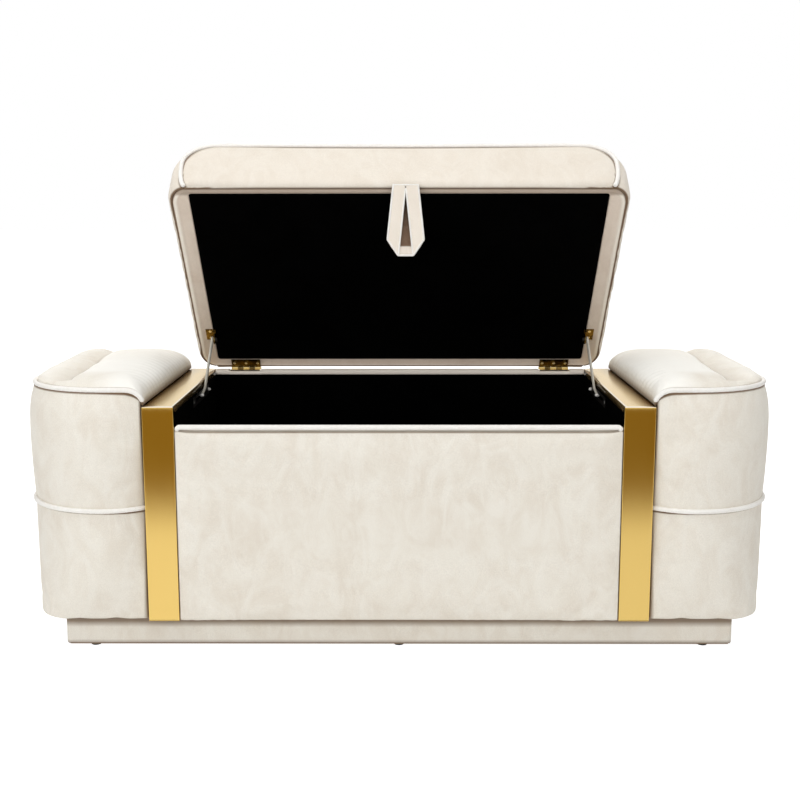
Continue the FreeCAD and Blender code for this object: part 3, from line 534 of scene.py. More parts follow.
# cloth held along its seams and swelled by pressure; each move is eased to stay under the sheet's cap
def swellSheets(sheets):
    s, made = swellSettings, []
    for sheet in sheets:
        cloth = bpy.data.objects.new("cloth_" + sheet["name"], makeMesh("cloth", sheet["points"], sheet["faces"]))
        scene.collection.objects.link(cloth)
        cloth.vertex_groups.new(name="held").add(np.flatnonzero(sheet["held"].ravel()).tolist(), 1.0, "REPLACE")
        settings = cloth.modifiers.new("cloth", "CLOTH").settings
        settings.quality = s["quality"]
        settings.vertex_group_mass = "held"
        settings.tension_stiffness = settings.compression_stiffness = s["tension"]
        settings.bending_stiffness = s["bending"]
        settings.tension_damping = settings.compression_damping = s["damping"]
        settings.effector_weights.gravity = 0
        settings.use_pressure = True
        settings.uniform_pressure_force = s["pressure"]
        settings.shrink_min = -s["spare"]
        made.append(cloth)
    for step in range(1, s["frames"] + 1):
        scene.frame_set(step)
    graph = bpy.context.evaluated_depsgraph_get()
    swelled = {}
    for sheet, cloth in zip(sheets, made):
        mesh = cloth.evaluated_get(graph).to_mesh()
        found = np.empty(len(mesh.vertices) * 3, np.float32)
        mesh.vertices.foreach_get("co", found)
        move = found.reshape(sheet["points"].shape).astype(float) / mm - sheet["points"]
        length = np.linalg.norm(move, axis=-1, keepdims=True)
        print("swelled", sheet["name"], "most", round(float(length.max()), 2), "mean", round(float(length.mean()), 2))
        move *= sheet["cap"] * np.tanh(length / sheet["cap"]) / np.maximum(length, 1e-9)
        swelled[sheet["name"]] = sheet["points"] + move
        bpy.data.objects.remove(cloth)
    scene.frame_set(1)
    return swelled


# the outer rows and columns of a sheet, as many as counted
def heldEdges(sheet, count):
    held = np.ones(sheet.shape[:2], bool)
    held[count:-count, count:-count] = False
    return held


# a sheet ready to swell, its faces turned so that pressure pushes away from the inside point
def readySheet(name, points, inside, cap, held, **more):
    faces = gridQuads(*points.shape[:2])
    if facingAway(points.reshape(-1, 3), faces, inside) < 0:
        faces = faces[:, ::-1]
    return dict(name=name, points=points, faces=faces, cap=cap, held=held, **more)


# a side block; the lists give its draw, corner, front line and inner draw at each level
blockShape = {
    "inner": 401.0, "outer": 606.0, "foot": 52.4, "seam": 236.0, "edge": 428.0, "backY": 229.0, "backCorner": 62.0,
    "level": (52.4, 100.0, 145.0, 190.0, 236.0, 290.0, 340.0, 380.0, 408.0, 428.0),
    "draw": (21.0, 13.5, 8.5, 5.5, 4.5, 2.4, 0.6, 0.0, 2.5, 8.5),
    "corner": (54.0, 100.0, 124.0, 135.0, 135.0, 137.0, 139.0, 140.0, 138.0, 135.0),
    "front": (-205.0, -217.0, -222.0, -223.0, -221.0, -224.5, -225.0, -222.0, -216.0, -207.0),
    "innerDraw": (3.0, 14.0, 22.0, 26.0, 26.0, 26.0, 24.0, 17.0, 9.0, 3.0),
    "shoulderWidth": 30.0, "shoulderDrop": 26.4, "footRound": 5.0, "seamRound": 4.0, "wall": 5.0, "lap": 396.6,
    "rise": 3.0, "crest": 1.6, "fullWidth": 34.0, "fullLift": 9.0, "gather": 2.1, "gatherPitch": 22.0, "edgeIn": 1.5,
    "pinchX": 531.0, "pinchLean": 0.027, "pinchDepth": 10.5, "pinchStep": 1.5, "pinchStart": -156.0,
    "pinchEnd": 224.0, "rollLift": 5.0, "tackDepth": 5.0, "creases": ((46.0, 16.0, 3.0), (-52.0, 12.0, 1.4)),
    "panelSpan": 190.0, "middle": (503.5, 0, 220), "cord": 3.9,
}


# a level's value, smoothed between the listed heights by averaging three nearby readings
def atLevel(key, z):
    return sum(np.interp(z + step, blockShape["level"], blockShape[key]) for step in (-12.0, 0.0, 12.0)) / 3


# plan ring: shallow front curve, round front corner, straight side, round back corner, straight back
def blockRing(xOut, yFront, corner, innerDraw, yBack, backCorner, counts=(14, 40, 36, 32, 16)):
    xIn = blockShape["inner"] + 0.4
    front, turn, side, backTurn = (np.linspace(0, 1, n, endpoint=False)[None, :] for n in counts[:-1])
    last = np.linspace(0, 1, counts[-1])[None, :]
    turn, backTurn = turn * np.pi / 2, backTurn * np.pi / 2
    xCrown, xLast = xOut - corner, xOut - backCorner
    x = [xIn + (xCrown - xIn) * front, xCrown + corner * np.sin(turn), xOut + 0 * side,
         xOut - backCorner * (1 - np.cos(backTurn)), xLast + (xIn - xLast) * last]
    y = [yFront + innerDraw * (1 - front) ** 2, yFront + corner * (1 - np.cos(turn)),
         yFront + corner + (yBack - backCorner - yFront - corner) * side,
         yBack - backCorner * (1 - np.sin(backTurn)), yBack + 0 * last]
    return np.hstack(x), np.hstack(y)


# height of the top edge over the inner shoulder: a quarter of a squarish ellipse
def shoulderLine(x):
    s = blockShape
    share = np.clip((s["lap"] + s["shoulderWidth"] - x) / s["shoulderWidth"], 0, 1)
    return s["edge"] - s["shoulderDrop"] * (1 - (1 - share ** 2.1) ** (1 / 2.1))


# one swollen panel between two seams: the plan ring at each height, its ends drawn into the seams by the inset
def blockPanel(z, inset):
    s = blockShape
    draw = atLevel("draw", z) + inset
    return blockRing(s["outer"] - draw, atLevel("front", z) + inset, atLevel("corner", z), atLevel("innerDraw", z),
                     s["backY"] - draw, s["backCorner"])


# lower panel: turned under the base in a quarter round, then up to the middle seam
def blockLower():
    s, turn = blockShape, quarter(6)
    r, q, foot = s["footRound"], s["seamRound"], s["foot"]
    top = s["seam"] - q
    z = np.concatenate([[foot] * 3, foot + r * (1 - np.cos(turn)), np.linspace(foot + r, top - 8, 33)[1:],
                        top - np.array([6.4, 5.2, 4.2, 3.2, 2.2, 1.2]), top + q * np.sin(turn)])[:, None]
    inset = np.concatenate([[20.0, 17.0, 12.0], r * (1 - np.sin(turn)), np.zeros(38), q * (1 - np.cos(turn))])
    return gridOf(*blockPanel(z, inset[:, None]), z)


# upper panel: from the middle seam to the piped top edge, which drops over the inner shoulder
def blockUpper():
    s, turn = blockShape, quarter(6)
    q, span = s["seamRound"], s["panelSpan"]
    last = q + np.array([8.4, 7.4, 6.4, 5.4, 4.4, 3.0, 1.5])
    share = np.concatenate([q / span * (1 - np.cos(turn)), np.linspace(q / span, 1 - (q + 10) / span, 34)[1:],
                            1 - last / span, 1 - q / span * (1 - np.sin(turn))])[:, None]
    inset = np.concatenate([q * (1 - np.sin(turn)), np.zeros(40), q * (1 - np.cos(turn))])[:, None]
    x, y = blockPanel(s["seam"] + share * (s["edge"] - s["seam"]), inset)
    return gridOf(x, y, s["seam"] + share * (shoulderLine(x[-1:]) - s["seam"]))


# top panel: crowned, pinched along a sewn line, rolled down over the inner shoulder
def blockTop(seed):
    s = blockShape
    lap, inner, edgeIn, tackX, tackY = (s[key] for key in ("lap", "inner", "edgeIn", "pinchX", "pinchStart"))
    xOut, corner, backCorner = s["outer"] - s["draw"][-1], s["corner"][-1], s["backCorner"]
    x = np.concatenate([lap + (tackX - lap) * eased(34, 0.6),
                        tackX + (xOut - edgeIn - tackX) * eased(21, 0.6)[1:]])[None, :]
    overFront = np.clip(x - (xOut - corner), 0, corner)
    overBack = np.clip(x - (xOut - backCorner), 0, backCorner)
    yFront = s["front"][-1] + edgeIn + corner - np.sqrt(corner ** 2 - overFront ** 2)
    yBack = s["backY"] - s["draw"][-1] - edgeIn - backCorner + np.sqrt(backCorner ** 2 - overBack ** 2)
    y = yFront + (yBack - yFront) * eased(96, 0.4)[:, None]
    lean = s["pinchLean"] * (y - tackY)
    x = x + lean * np.interp(x, [inner + 40, tackX, xOut - 2], [0, 1, 0])
    pinchX = tackX + lean
    behind, before = y - yFront, yBack - y
    # a squarish shoulder rises to the full height, with a slight crown across and a fall to both ends
    fall = s["rise"] * np.abs(y / s["backY"]) ** 2.5
    width = s["fullWidth"] * (1 + 0.65 * smoothStep(y, 20, 215))
    share = np.clip((lap + width - x) / width, 0, 1)
    foot = s["edge"] - s["shoulderDrop"] - 0.6
    body = foot + (s["edge"] + s["fullLift"] - foot) * (1 - share ** 2.6) ** (1 / 2.6)
    crown = s["crest"] * np.sin(np.pi * np.clip((x - inner) / (pinchX - inner), 0, 1)) ** 0.9
    lifted = body + (s["rise"] - fall + crown) * smoothStep(x, inner, inner + 30)
    line = shoulderLine(x) - 1.0
    edgeRise = (roundRise(behind, 46 + 34 * smoothStep(x, lap + 40, lap + 110)) * roundRise(before, 36)
                * roundRise(xOut - x, 26))
    z = line + (lifted - line) * edgeRise
    # the pinch runs back from a tack: a valley, shallower towards the back, with a lifted roll outside it
    away = x - pinchX
    sewn = smoothStep(y, tackY - 8, tackY + 14) * (1 - smoothStep(y, s["pinchEnd"] - 70, s["pinchEnd"]))
    step = s["pinchStep"] * (1 - smoothStep(y, 20, 190))
    flatSide = (s["pinchDepth"] + step) * np.exp(-np.abs(away / 6.0) ** 1.2)
    rollSide = s["pinchDepth"] * np.exp(-np.abs(away / 15.0) ** 1.3) + step * np.interp(away, [0, 30, 60], [1, 0.8, 0.3])
    z -= sewn * (1 - 0.7 * smoothStep(y, 20, 140)) * np.where(away < 0, flatSide, rollSide)
    z += s["rollLift"] * (0.4 + 0.6 * smoothStep(y, -40, 180)) * smoothStep(away, 0, 18) * edgeRise
    # painted light: pale on the flat top and its inner shoulder, less on the roll and the front margin
    margin = np.maximum(smoothStep(behind, 30, 92), 1 - smoothStep(x, lap + 36, lap + 92))
    flat = ((1 - smoothStep(away, -5, 3)) * margin * (1 - 0.3 * smoothStep(y, -40, 110))
            * smoothStep(x, lap - 4, lap + 12))
    flat = np.maximum(flat, sewn * np.exp(-((away + 7) / 6.0) ** 2))
    light = np.maximum(flat, 0.55 * smoothStep(away, 10, 48) * smoothStep(behind, 8, 30))
    tack = np.exp(-((x - tackX) ** 2 + (y - tackY - 4) ** 2) / 90.0)
    z -= s["tackDepth"] * tack
    # two short creases fork from the tack towards the front corners
    for toX, toY, depth in s["creases"]:
        length = math.hypot(toX, toY)
        ahead = ((x - tackX) * toX + (y - tackY) * toY) / length
        off = ((x - tackX) * toY - (y - tackY) * toX) / length
        z -= depth * smoothStep(ahead, -6, 4) * (1 - smoothStep(ahead, 10, length)) * np.exp(-(off / 5.0) ** 2)
    # gathers where the top is drawn down beside the metal
    drawn = (1 - smoothStep(x, lap + 14, lap + 48)) * smoothStep(behind, 20, 70) * smoothStep(before, 10, 40)
    gather = np.sin(2 * np.pi * (y / s["gatherPitch"] + 0.22 * softNoise(y, 2 * x, 120.0, seed))) * drawn
    x = x - s["gather"] * gather * smoothStep(x, lap, lap + 5)
    top = gridOf(x, y, z)
    held = heldEdges(top, 2) | ((sewn > 0.5) & (np.abs(x - pinchX) < 4))
    # painted shade in the pinch valley and on the roll beside it, at the tack and along the sewn edges
    valley = 0.40 * np.exp(-(away / 2.4) ** 2) + (away > 0) * 0.34 * np.exp(-away / 14)
    shade = np.maximum(seamShade(top, first=2.0, last=2.0, left=1.0, right=1.0), 0.4 * tack ** 2)
    shade = np.maximum(shade, sewn * (1 - 0.5 * smoothStep(y, -60, 160)) * valley)
    return readySheet("top", top, s["middle"], 4.0, held, shade=shade, light=light * (1 - 0.7 * tack))


# the three sheets of one block, named for their side
def blockSheets(side, seed):
    lower, upper, middle = blockLower(), blockUpper(), blockShape["middle"]
    # painted shade along the sewn edges, reaching furthest below the piped cords as a painted shadow
    sheets = [readySheet("lower", lower, middle, 3.0, heldEdges(lower, 3),
                         shade=seamShade(lower, last=10.2, left=4.0, right=4.0)),
              readySheet("upper", upper, middle, 3.0, heldEdges(upper, 3),
                         shade=seamShade(upper, first=4.0, last=14.4, left=4.0, right=4.0)),
              blockTop(seed)]
    return {(side, sheet["name"]): dict(sheet, name=side + "_" + sheet["name"]) for sheet in sheets}


# the piped line at one height: the plan ring there, standing out from it
def blockLine(z, out, innerDraw):
    s, z = blockShape, np.array([[z]])
    draw = atLevel("draw", z) - out
    x, y = blockRing(s["outer"] - draw, atLevel("front", z) - out, s["corner"][-1] + out, innerDraw,
                     s["backY"] - draw, s["backCorner"] + out, (40, 60, 50, 50, 40))
    return x[0], y[0]


# top cord: out over the inner shoulder, following the shoulder's fall
def blockEdgePath():
    s = blockShape
    x, y = blockLine(s["edge"] + 12, 2.6, 1.0)
    start = np.linspace(s["lap"] + 2.6, x[0], 8, endpoint=False)
    x, y = np.concatenate([start, x[:-6]]), np.concatenate([y[0] + 0 * start, y[:-6]])
    return evenly(gridOf(x, y, np.maximum(shoulderLine(x) - 2.0, s["edge"] - s["shoulderDrop"] + 2.6)), 4.0)


# middle cord: level, stopping short of the metal
def blockSeamPath():
    s = blockShape
    x, y = blockLine(s["seam"], 2.2, 26.0)
    keep = x > s["inner"] + 3.5
    return evenly(gridOf(x[keep], y[keep], s["seam"]), 4.0)


# the lid, in distances forward and up from the hinge axis
lidShape = {
    "axis": (228.3, 400.4), "turn": 51.0, "front": 434.3, "back": 0.5, "under": 2.4, "foot": 3.2, "half": 376.0,
    "bulge": 382.0, "edge": 110.0, "crown": 13.0, "corner": 50.0, "frontHalf": 351.0, "frontBulge": 360.0,
    "frontTop": 110.0, "widen": 0.011, "frontCorner": 50.0, "roundReach": 38.0, "frontSag": 2.5, "panelSwell": 8.0,
    "wall": 5.0, "dome": 5.0, "footInset": 6.5, "backFoot": 1.5, "footRise": 11.0, "cord": 3.8, "cordOut": 1.5,
    "liningHalf": 346.0, "liningFront": 419.0, "liningBack": 22.0, "liningCorner": 5.0, "borderRound": 3.5,
}


# lid distances turned open about the hinge axis, the lid widening slightly to its front
def lidWorld(x, forward, up):
    s = lidShape
    c, n = math.cos(math.radians(s["turn"])), math.sin(math.radians(s["turn"]))
    x = x * (1 + s["widen"] * (forward / s["front"] - 0.15))
    return gridOf(x, s["axis"][0] - (forward * c - up * n), s["axis"][1] + forward * n + up * c)


# a whole arch: each side bulges from its foot, over a round corner, to the crowned middle of the top
def lidArch(half, bulge, top, corner, crown, counts=(20, 18, 56)):
    foot, flatHalf = lidShape["foot"], bulge - corner * 1.1
    side = np.linspace(0, 1, counts[0], endpoint=False)
    turn = np.linspace(0, np.pi / 2, counts[1], endpoint=False)
    flat = np.linspace(0, 1, counts[2])
    x = np.concatenate([half + (bulge - half) * np.sin(side * np.pi / 2), bulge - corner * 1.1 * (1 - np.cos(turn)),
                        flatHalf * (1 - flat)])
    up = np.concatenate([foot + (top - corner - foot) * side ** 1.35, top - corner + corner * np.sin(turn),
                         top + crown * np.sin(flat * np.pi / 2) ** 1.5])
    return np.concatenate([-x, x[-2::-1]]), np.concatenate([up, up[-2::-1]])


lidMiddle = lidArch(lidShape["half"] + lidShape["footInset"],
                    *(lidShape[key] for key in ("bulge", "edge", "corner", "crown")))
lidEnd = lidArch(*(lidShape[key] for key in ("frontHalf", "frontBulge", "frontTop", "frontCorner")),
                 -lidShape["frontSag"])
lidInside = lidWorld(0.0, 217.0, 50.0)


# how far the foot of the wrap and end panels turns in under the lid at a height: full at the foot, none above
def lidFootInset(up):
    s = lidShape
    return s["footInset"] * (1 - roundRise(up - s["foot"], s["footRise"]))


# the wrap over top and sides: the middle arch shrinks to the end arch in a quarter round at front and back
def lidWrapSheet():
    s, turn = lidShape, quarter(12)
    (midX, midUp), (endX, endUp) = lidMiddle, lidEnd
    reach = s["roundReach"]
    into = reach * (1 - np.cos(turn))
    run = np.linspace(s["back"] + reach, s["front"] - reach, 66)[1:-1]
    forward = np.concatenate([s["back"] + into, run, (s["front"] - into)[::-1]])[:, None]
    grow = np.concatenate([np.sin(turn), np.ones(len(run)), np.sin(turn)[::-1]])[:, None]
    toEnd = np.concatenate([-np.cos(turn), np.zeros(len(run)), np.cos(turn)[::-1]])[:, None]
    x = endX + (midX - endX) * grow
    up = endUp + (midUp - endUp) * grow
    dome = s["dome"] * (1 - ((forward - s["front"] / 2) / (s["front"] / 2)) ** 2) * smoothStep(up, 60, 110)
    inset = lidFootInset(up)
    ends = inset * np.where(toEnd < 0, s["backFoot"] / s["footInset"], 1) * toEnd
    return lidWorld(x - np.sign(x) * inset * grow, forward - ends, up + dome)


# end panel: each column rises from the foot line to its spot on the arch, swelling away from the lid
def lidEndSheet(front):
    s, (endX, endUp) = lidShape, lidEnd
    across = np.linspace(-1, 1, 150)
    share = np.linspace(0, 1, 30)[:, None] ** 1.25
    spots = np.linspace(-1, 1, len(endX))
    archX, archUp = np.interp(across, spots, endX), np.interp(across, spots, endUp)
    footX = s["frontHalf"] * across
    x = footX + (archX - footX) * share ** 0.8
    up = s["foot"] + (archUp - s["foot"]) * share
    swell = s["panelSwell"] * (4 * share * (1 - share)) ** 0.6 * roundRise((1 - np.abs(across)) * 300, 60)
    swell = swell - lidFootInset(up) * (1 if front else s["backFoot"] / s["footInset"])
    return lidWorld(x, s["front"] + swell if front else s["back"] - swell, up)


# the front panel between the bands
frontShape = {"half": 350.6, "foot": 52.2, "top": 364.0, "face": -211.0, "back": -182.4, "lip": 350.0, "swell": 4.0,
              "footRound": 5.0, "topRound": 5.0, "sideRound": 6.0, "sideSink": 3.0, "wall": 4.0,
              "inside": (0, -100, 200)}


# profile from under the base, up the bowed face, over the top and down inside, carried across the width
def frontSheet():
    s, turn = frontShape, quarter(7)
    r, q, foot, top, front, half = (s[key] for key in ("footRound", "topRound", "foot", "top", "face", "half"))
    face = np.linspace(foot + r, top - q, 56)[1:-1]
    z = np.concatenate([[foot] * 2, foot + r * (1 - np.cos(turn)), face, top - q * (1 - np.sin(turn)), [top] * 2,
                        top - 3 * (1 - np.cos(turn[::3])), [356.0, s["lip"]]])[:, None]
    y = np.concatenate([[front + 26, front + 17], front + r * (1 - np.sin(turn)), front + 0 * face,
                        front + q * (1 - np.cos(turn)), [front + 15, front + 21],
                        s["back"] - 3 + 3 * np.sin(turn[::3]), [s["back"]] * 2])[:, None]
    share = np.clip((z - foot) / (top - foot), 0, 1)
    ends = half - s["sideRound"] * (1 - np.cos(turn))
    x = np.concatenate([-ends, np.linspace(-half + 9, half - 9, 138)[1:-1], ends[::-1]])[None, :]
    sink = s["sideSink"] * (1 - roundRise(half - np.abs(x), s["sideRound"]))
    bow = s["swell"] * np.sin(np.pi * share) ** 0.7 * roundRise(half - np.abs(x), 120)
    return gridOf(x, y + np.where(y < front + 12, sink - bow, 0), z - np.where(z > top - 12, 1, 0) * sink * 0.8)


# painted shade: dark lines beside the bands and a painted shadow under the piped top edge
def frontShade(sheet):
    s = frontShape
    under = np.exp(-((sheet[..., 2] - s["top"] + 1.4) / 1.3) ** 2) * (sheet[..., 1] < s["face"] + 9)
    return np.maximum(seamShade(sheet, left=2.4, right=2.4), 0.8 * under)


blockAll = {**blockSheets("right", 3), **blockSheets("left", 8)}
wrapStart, frontStart = lidWrapSheet(), frontSheet()
print("shapes ready")
swelled = swellSheets([*blockAll.values(), readySheet("lidWrap", wrapStart, lidInside, 4.0, heldEdges(wrapStart, 1)),
                       readySheet("frontPanel", frontStart, frontShape["inside"], 3.0, heldEdges(frontStart, 3))])
print("sheets swelled")


# the shells and cords of one block, mirrored to its side
def buildBlock(side, flip):
    mirror = np.array([flip, 1, 1])
    for name, replaced, look in (("lower", (side + "_block_foam",), velvet), ("upper", (side + "_block_cover",), velvet),
                                 ("top", (), topVelvet)):
        sheet = blockAll[side, name]
        piece = makeShell(side + "Block" + name.title(), swelled[sheet["name"]] * mirror, blockShape["wall"],
                          (flip * 500, 0, 220), look, "bench", "cream_velvet", sheet["shade"], replaced)
        # painted light on the top panel
        if name == "top":
            paint(piece, "paintedLight", np.tile(sheet["light"].ravel(), 2))
    for name, path, node, centre in (("EdgePiping", blockEdgePath(), "_block_edge_piping", 300),
                                     ("SeamPiping", blockSeamPath(), "_block_seam_piping", 236)):
        path = path * mirror
        makeTube(side + "Block" + name, path, blockShape["cord"], path - np.array([flip * 500, 0, centre]), pipingVelvet,
                 "bench", "cream_velvet", (side + node,), ripple=0.02)


for side, flip in bothSides:
    buildBlock(side, flip)
print("blocks built")


# a padded velvet part of the lid
def lidPanel(name, sheet, shade, replaced=()):
    piece = makeShell(name, sheet, lidShape["wall"], lidInside, lidShadedVelvet, "lid", "cream_velvet", shade, replaced)


lidFront, lidBack = lidEndSheet(True), lidEndSheet(False)
# painted shade along the sewn edges of the lid's panels, and frontShade on the front panel
lidPanel("lidWrap", swelled["lidWrap"], seamShade(wrapStart, first=5.0, last=5.0, left=3.6, right=3.6),
         ("lid_cover", "lid_foam"))
lidPanel("lidFrontPanel", lidFront, seamShade(lidFront, first=4.0, last=6.5))
lidPanel("lidBackPanel", lidBack, seamShade(lidBack, first=4.0, last=6.5))
makeShell("frontPanel", swelled["frontPanel"], frontShape["wall"], frontShape["inside"], velvet, "bench",
                    "cream_velvet", frontShade(frontStart), ("front_panel_foam", "front_panel_cover"))


# cord along the end arch, standing a little out from it; the back one stops short of the rim
def lidPipingPath(front):
    s = lidShape
    line = evenly(np.stack(lidEnd, -1), 4.0)
    line = line if front else line[3:-3]
    plane = s["front"] + s["cordOut"] if front else s["back"] - s["cordOut"]
    return lidWorld(line[:, 0] * 1.004, plane, line[:, 1] + 1.2)


for end, isFront in (("front", True), ("back", False)):
    path = lidPipingPath(isFront)
    makeTube("lid" + end.title() + "Piping", path, lidShape["cord"], path - lidInside, pipingVelvet, "lid",
             "cream_velvet", ("lid_" + end + "_piping",), ripple=0.02)


# ring of a rounded rectangle with elliptical corners, the same spots on every ring
def roundedRing(half, low, high, cornerX, cornerY, counts=(120, 14, 70)):
    run, turn, rise = (np.linspace(0, 1, n, endpoint=False) for n in counts)
    sine, cosine = np.sin(turn * np.pi / 2), np.cos(turn * np.pi / 2)
    right, left, top, foot = half - cornerX, cornerX - half, high - cornerY, low + cornerY
    wide, tall = 2 * half - 2 * cornerX, high - low - 2 * cornerY
    x = [left + wide * run, right + cornerX * sine, half + 0 * rise, right + cornerX * cosine,
         right - wide * run, left - cornerX * sine, 0 * rise - half, left - cornerX * cosine]
    y = [high + 0 * run, top + cornerY * cosine, top - tall * rise, foot - cornerY * sine,
         low + 0 * run, foot - cornerY * cosine, foot + tall * rise, top + cornerY * sine]
    return np.stack([np.concatenate(x), np.concatenate(y)], -1)


# ring under the lid at an inset from its outer edge
def lidRing(inset):
    s = lidShape
    return roundedRing(s["half"] - inset, s["back"] + s["backFoot"] + inset, s["front"] - s["footInset"] - inset,
                       25.0 - inset * 0.5, 33.0 - inset * 0.5)


# ring of the lining at an inset from its edge
def liningRing(inset):
    s = lidShape
    corner = max(s["liningCorner"] - inset, 1.0)
    return roundedRing(s["liningHalf"] - inset, s["liningBack"] + inset, s["liningFront"] - inset, corner, corner)


# border: from the crease, round its outer edge, across a softly ridged face and up beside the lining
def buildBorder():
    s, turn = lidShape, quarter(6)
    r, under = s["borderRound"], s["under"]
    rings = [lidRing(value) for value in (0.6, *(0.6 + r * (1 - np.cos(turn))))]
    outer, inner = rings[-1], liningRing(0.0)
    shares = np.linspace(0, 1, 13)[1:]
    ring = np.array(rings + [outer + (inner - outer) * share for share in shares] + [inner, inner])
    face = under + 0.6 - 0.9 * np.exp(-((shares - 0.12) / 0.1) ** 2) - 0.5 * np.sin(np.pi * shares)
    up = np.concatenate([[under + 9], under + 0.6 + r * (1 - np.sin(turn)), face, [under + 1.5, under + 9]])
    border = lidWorld(ring[..., 0], ring[..., 1], up[:, None])
    rows, cols = border.shape[:2]
    piece = makePiece("lidBorder", border, gridQuads(rows, cols, closeRows=True, closeCols=True), borderShadedVelvet, "lid",
                      "cream_velvet")
    # painted shade in the creases and along the front strip, painted light along the ridge at the sides
    shade, paintedLight = np.zeros((rows, cols)), np.zeros((rows, cols))
    shade[:3], shade[3], shade[4], shade[-3:] = 1.0, 0.75, 0.25, 0.5
    paintedLight[4:9] = np.array([0.5, 0.9, 1.0, 0.8, 0.3])[:, None]
    ahead = (border[..., 2] - s["axis"][1]) / math.sin(math.radians(s["turn"]))
    frontPart = smoothStep(ahead, s["liningFront"] - 4, s["liningFront"] + 2)
    backPart = 1 - smoothStep(ahead, s["liningBack"] - 4, s["liningBack"] + 2)
    paint(piece, "seam", np.maximum(shade, 0.53 * frontPart))
    paint(piece, "paintedLight", paintedLight * (1 - frontPart) * (1 - 0.6 * backPart))


# black cloth stretched over the underside, its edge turned up behind the border
def buildLiningPanel():
    up = np.array([6.0, 4.5, 1.6, 0.5, 0.35, 0.35, 0.35]) + lidShape["under"] - 0.2
    rings = np.array([liningRing(inset) for inset in (3.0, 0.4, 0.0, 0.6, 8.0, 60.0, 160.0)])
    points = lidWorld(rings[..., 0], rings[..., 1], up[:, None])
    makePiece("lidLiningPanel", points, ringQuads(*points.shape[:2]), lining, "lid", "black_lining", ("lid_lining",))


buildBorder()
buildLiningPanel()
print("lid and front panel built")

bandShape = {"inner": 351.0, "outer": 400.0, "front": -211.0, "back": 225.0, "foot": 52.2, "top": 400.0, "sheet": 1.2,
             "fold": 10.0, "round": 1.3, "cornerRound": 1.8}


# channel section of folded sheet carried up the front, over the top and down the back, mitred at the corners
def buildBand(side, flip):
    s, turn = bandShape, quarter(6)
    r, t, foot = s["round"], s["sheet"], s["foot"]
    flat = np.linspace(s["inner"] + r, s["outer"] - r, 12)[1:-1]

    # the section's line: down a fold, round the bend, across the flat and back, set in by the step
    def line(size, step):
        over, down = r - size * np.cos(turn), r - size * np.sin(turn)
        x = np.concatenate([[s["inner"] + step], s["inner"] + over, flat, s["outer"] - over[::-1], [s["outer"] - step]])
        return x, np.concatenate([[s["fold"]], down, step + 0 * flat, down[::-1], [s["fold"]]])

    x, depth = (np.concatenate([out, into[::-1]])[:, None] for out, into in zip(line(r, 0.0), line(r - t, t)))
    bend = np.maximum(s["cornerRound"] - depth, 0.02)
    leg = np.linspace(0, 1, 40)[None, :]
    sine, cosine = bend * (1 - np.sin(turn[1:-1])), bend * (1 - np.cos(turn[1:-1]))
    front, back, top = s["front"] + depth, s["back"] - depth, s["top"] - depth
    rise = (top - bend - foot) * leg
    y = np.hstack([front + 0 * leg, front + cosine, front + bend + (back - front - 2 * bend) * leg, back - sine,
                   back + 0 * leg])
    z = np.hstack([foot + rise, top - sine, top + 0 * leg, top - cosine, top - bend - rise])
    points = gridOf(x * flip, y, z)
    rows, cols = points.shape[:2]
    first = np.arange(rows // 2 - 1)
    across = np.stack([first, first + 1, rows - 2 - first, rows - 1 - first], -1) * cols
    faces = np.concatenate([gridQuads(rows, cols, closeRows=True), across, across[:, ::-1] + cols - 1])
    band = makePiece(side + "Band", points, faces, gold, "bench", "gold_band", (side + "_band",))
    # painted highlight along the corner bend and the inner edge of the top
    paintedHighlight, fold = np.zeros((rows, cols)), np.zeros((rows, cols))
    paintedHighlight[:, 41:45] = 0.8
    paintedHighlight[3:7, 44:88] = 0.75
    paint(band, "edge", paintedHighlight)
    # the inner fold is painted brown and less metallic, and the top beside the block, more towards the back, carries
    # the block's painted dark reflection
    along = np.linspace(0, 1, 44)
    fold[:2, 44:88] = 1.0
    fold[7:24, 44:88] = (0.16 + 0.30 * along) * smoothStep(x[7:24], s["inner"] + 20, s["outer"] - 4) + 0.24 * along ** 2
    paint(band, "fold", fold)


for side, flip in bothSides:
    buildBand(side, flip)
print("bands built")

plinthShape = {"half": 542.0, "front": -183.0, "back": 197.0, "foot": 3.2, "top": 53.6, "corner": 7.0, "round": 3.0,
               "wall": 1.8, "slack": 0.5}


# ring round the base: outside face with a turned foot, then the inside face; cloth a little slack at mid height
def buildPlinth():
    s, turn = plinthShape, quarter(5)
    r, foot, top = s["round"], s["foot"], s["top"]
    inset = np.concatenate([[s["wall"] + 0.4], r * (1 - np.sin(turn)), np.zeros(9), [0.6, s["wall"]]])
    z = np.concatenate([[foot], foot + r * (1 - np.cos(turn)), np.linspace(foot + r, top - 1, 10)[1:], [top, top]])
    rings = np.array([roundedRing(s["half"] - i, s["front"] + i, s["back"] - i, s["corner"], s["corner"], (190, 8, 70))
                      for i in inset])
    x, y = rings[..., 0], rings[..., 1]
    heights = z[:, None] + 0 * x
    slack = s["slack"] * softNoise(x + y, heights * 2, 130.0, 5) * np.exp(-((heights - 28) / 18) ** 2)
    points = gridOf(x, y + np.sign(y) * slack, heights)
    wrap = makePiece("plinthWrap", points, gridQuads(*points.shape[:2], closeRows=True, closeCols=True), velvet, "bench",
                     "cream_velvet", ("plinth_wrap",))
    # painted shadow under the overhang near the top and a painted dark contact line at the foot
    paint(wrap, "seam", np.maximum(0.86 * smoothStep(heights, 31, 43), 1 - smoothStep(heights, 5.0, 7.4)))


buildPlinth()

backShape = {"half": 350.3, "foot": 54.2, "top": 400.4, "face": 225.0, "inner": 203.2, "lip": 391.0, "round": 7.0,
             "wall": 1.6, "leaf": (265.6, 322.4), "leafEdge": 2.2, "press": 2.8, "inside": (0, 210, 200)}


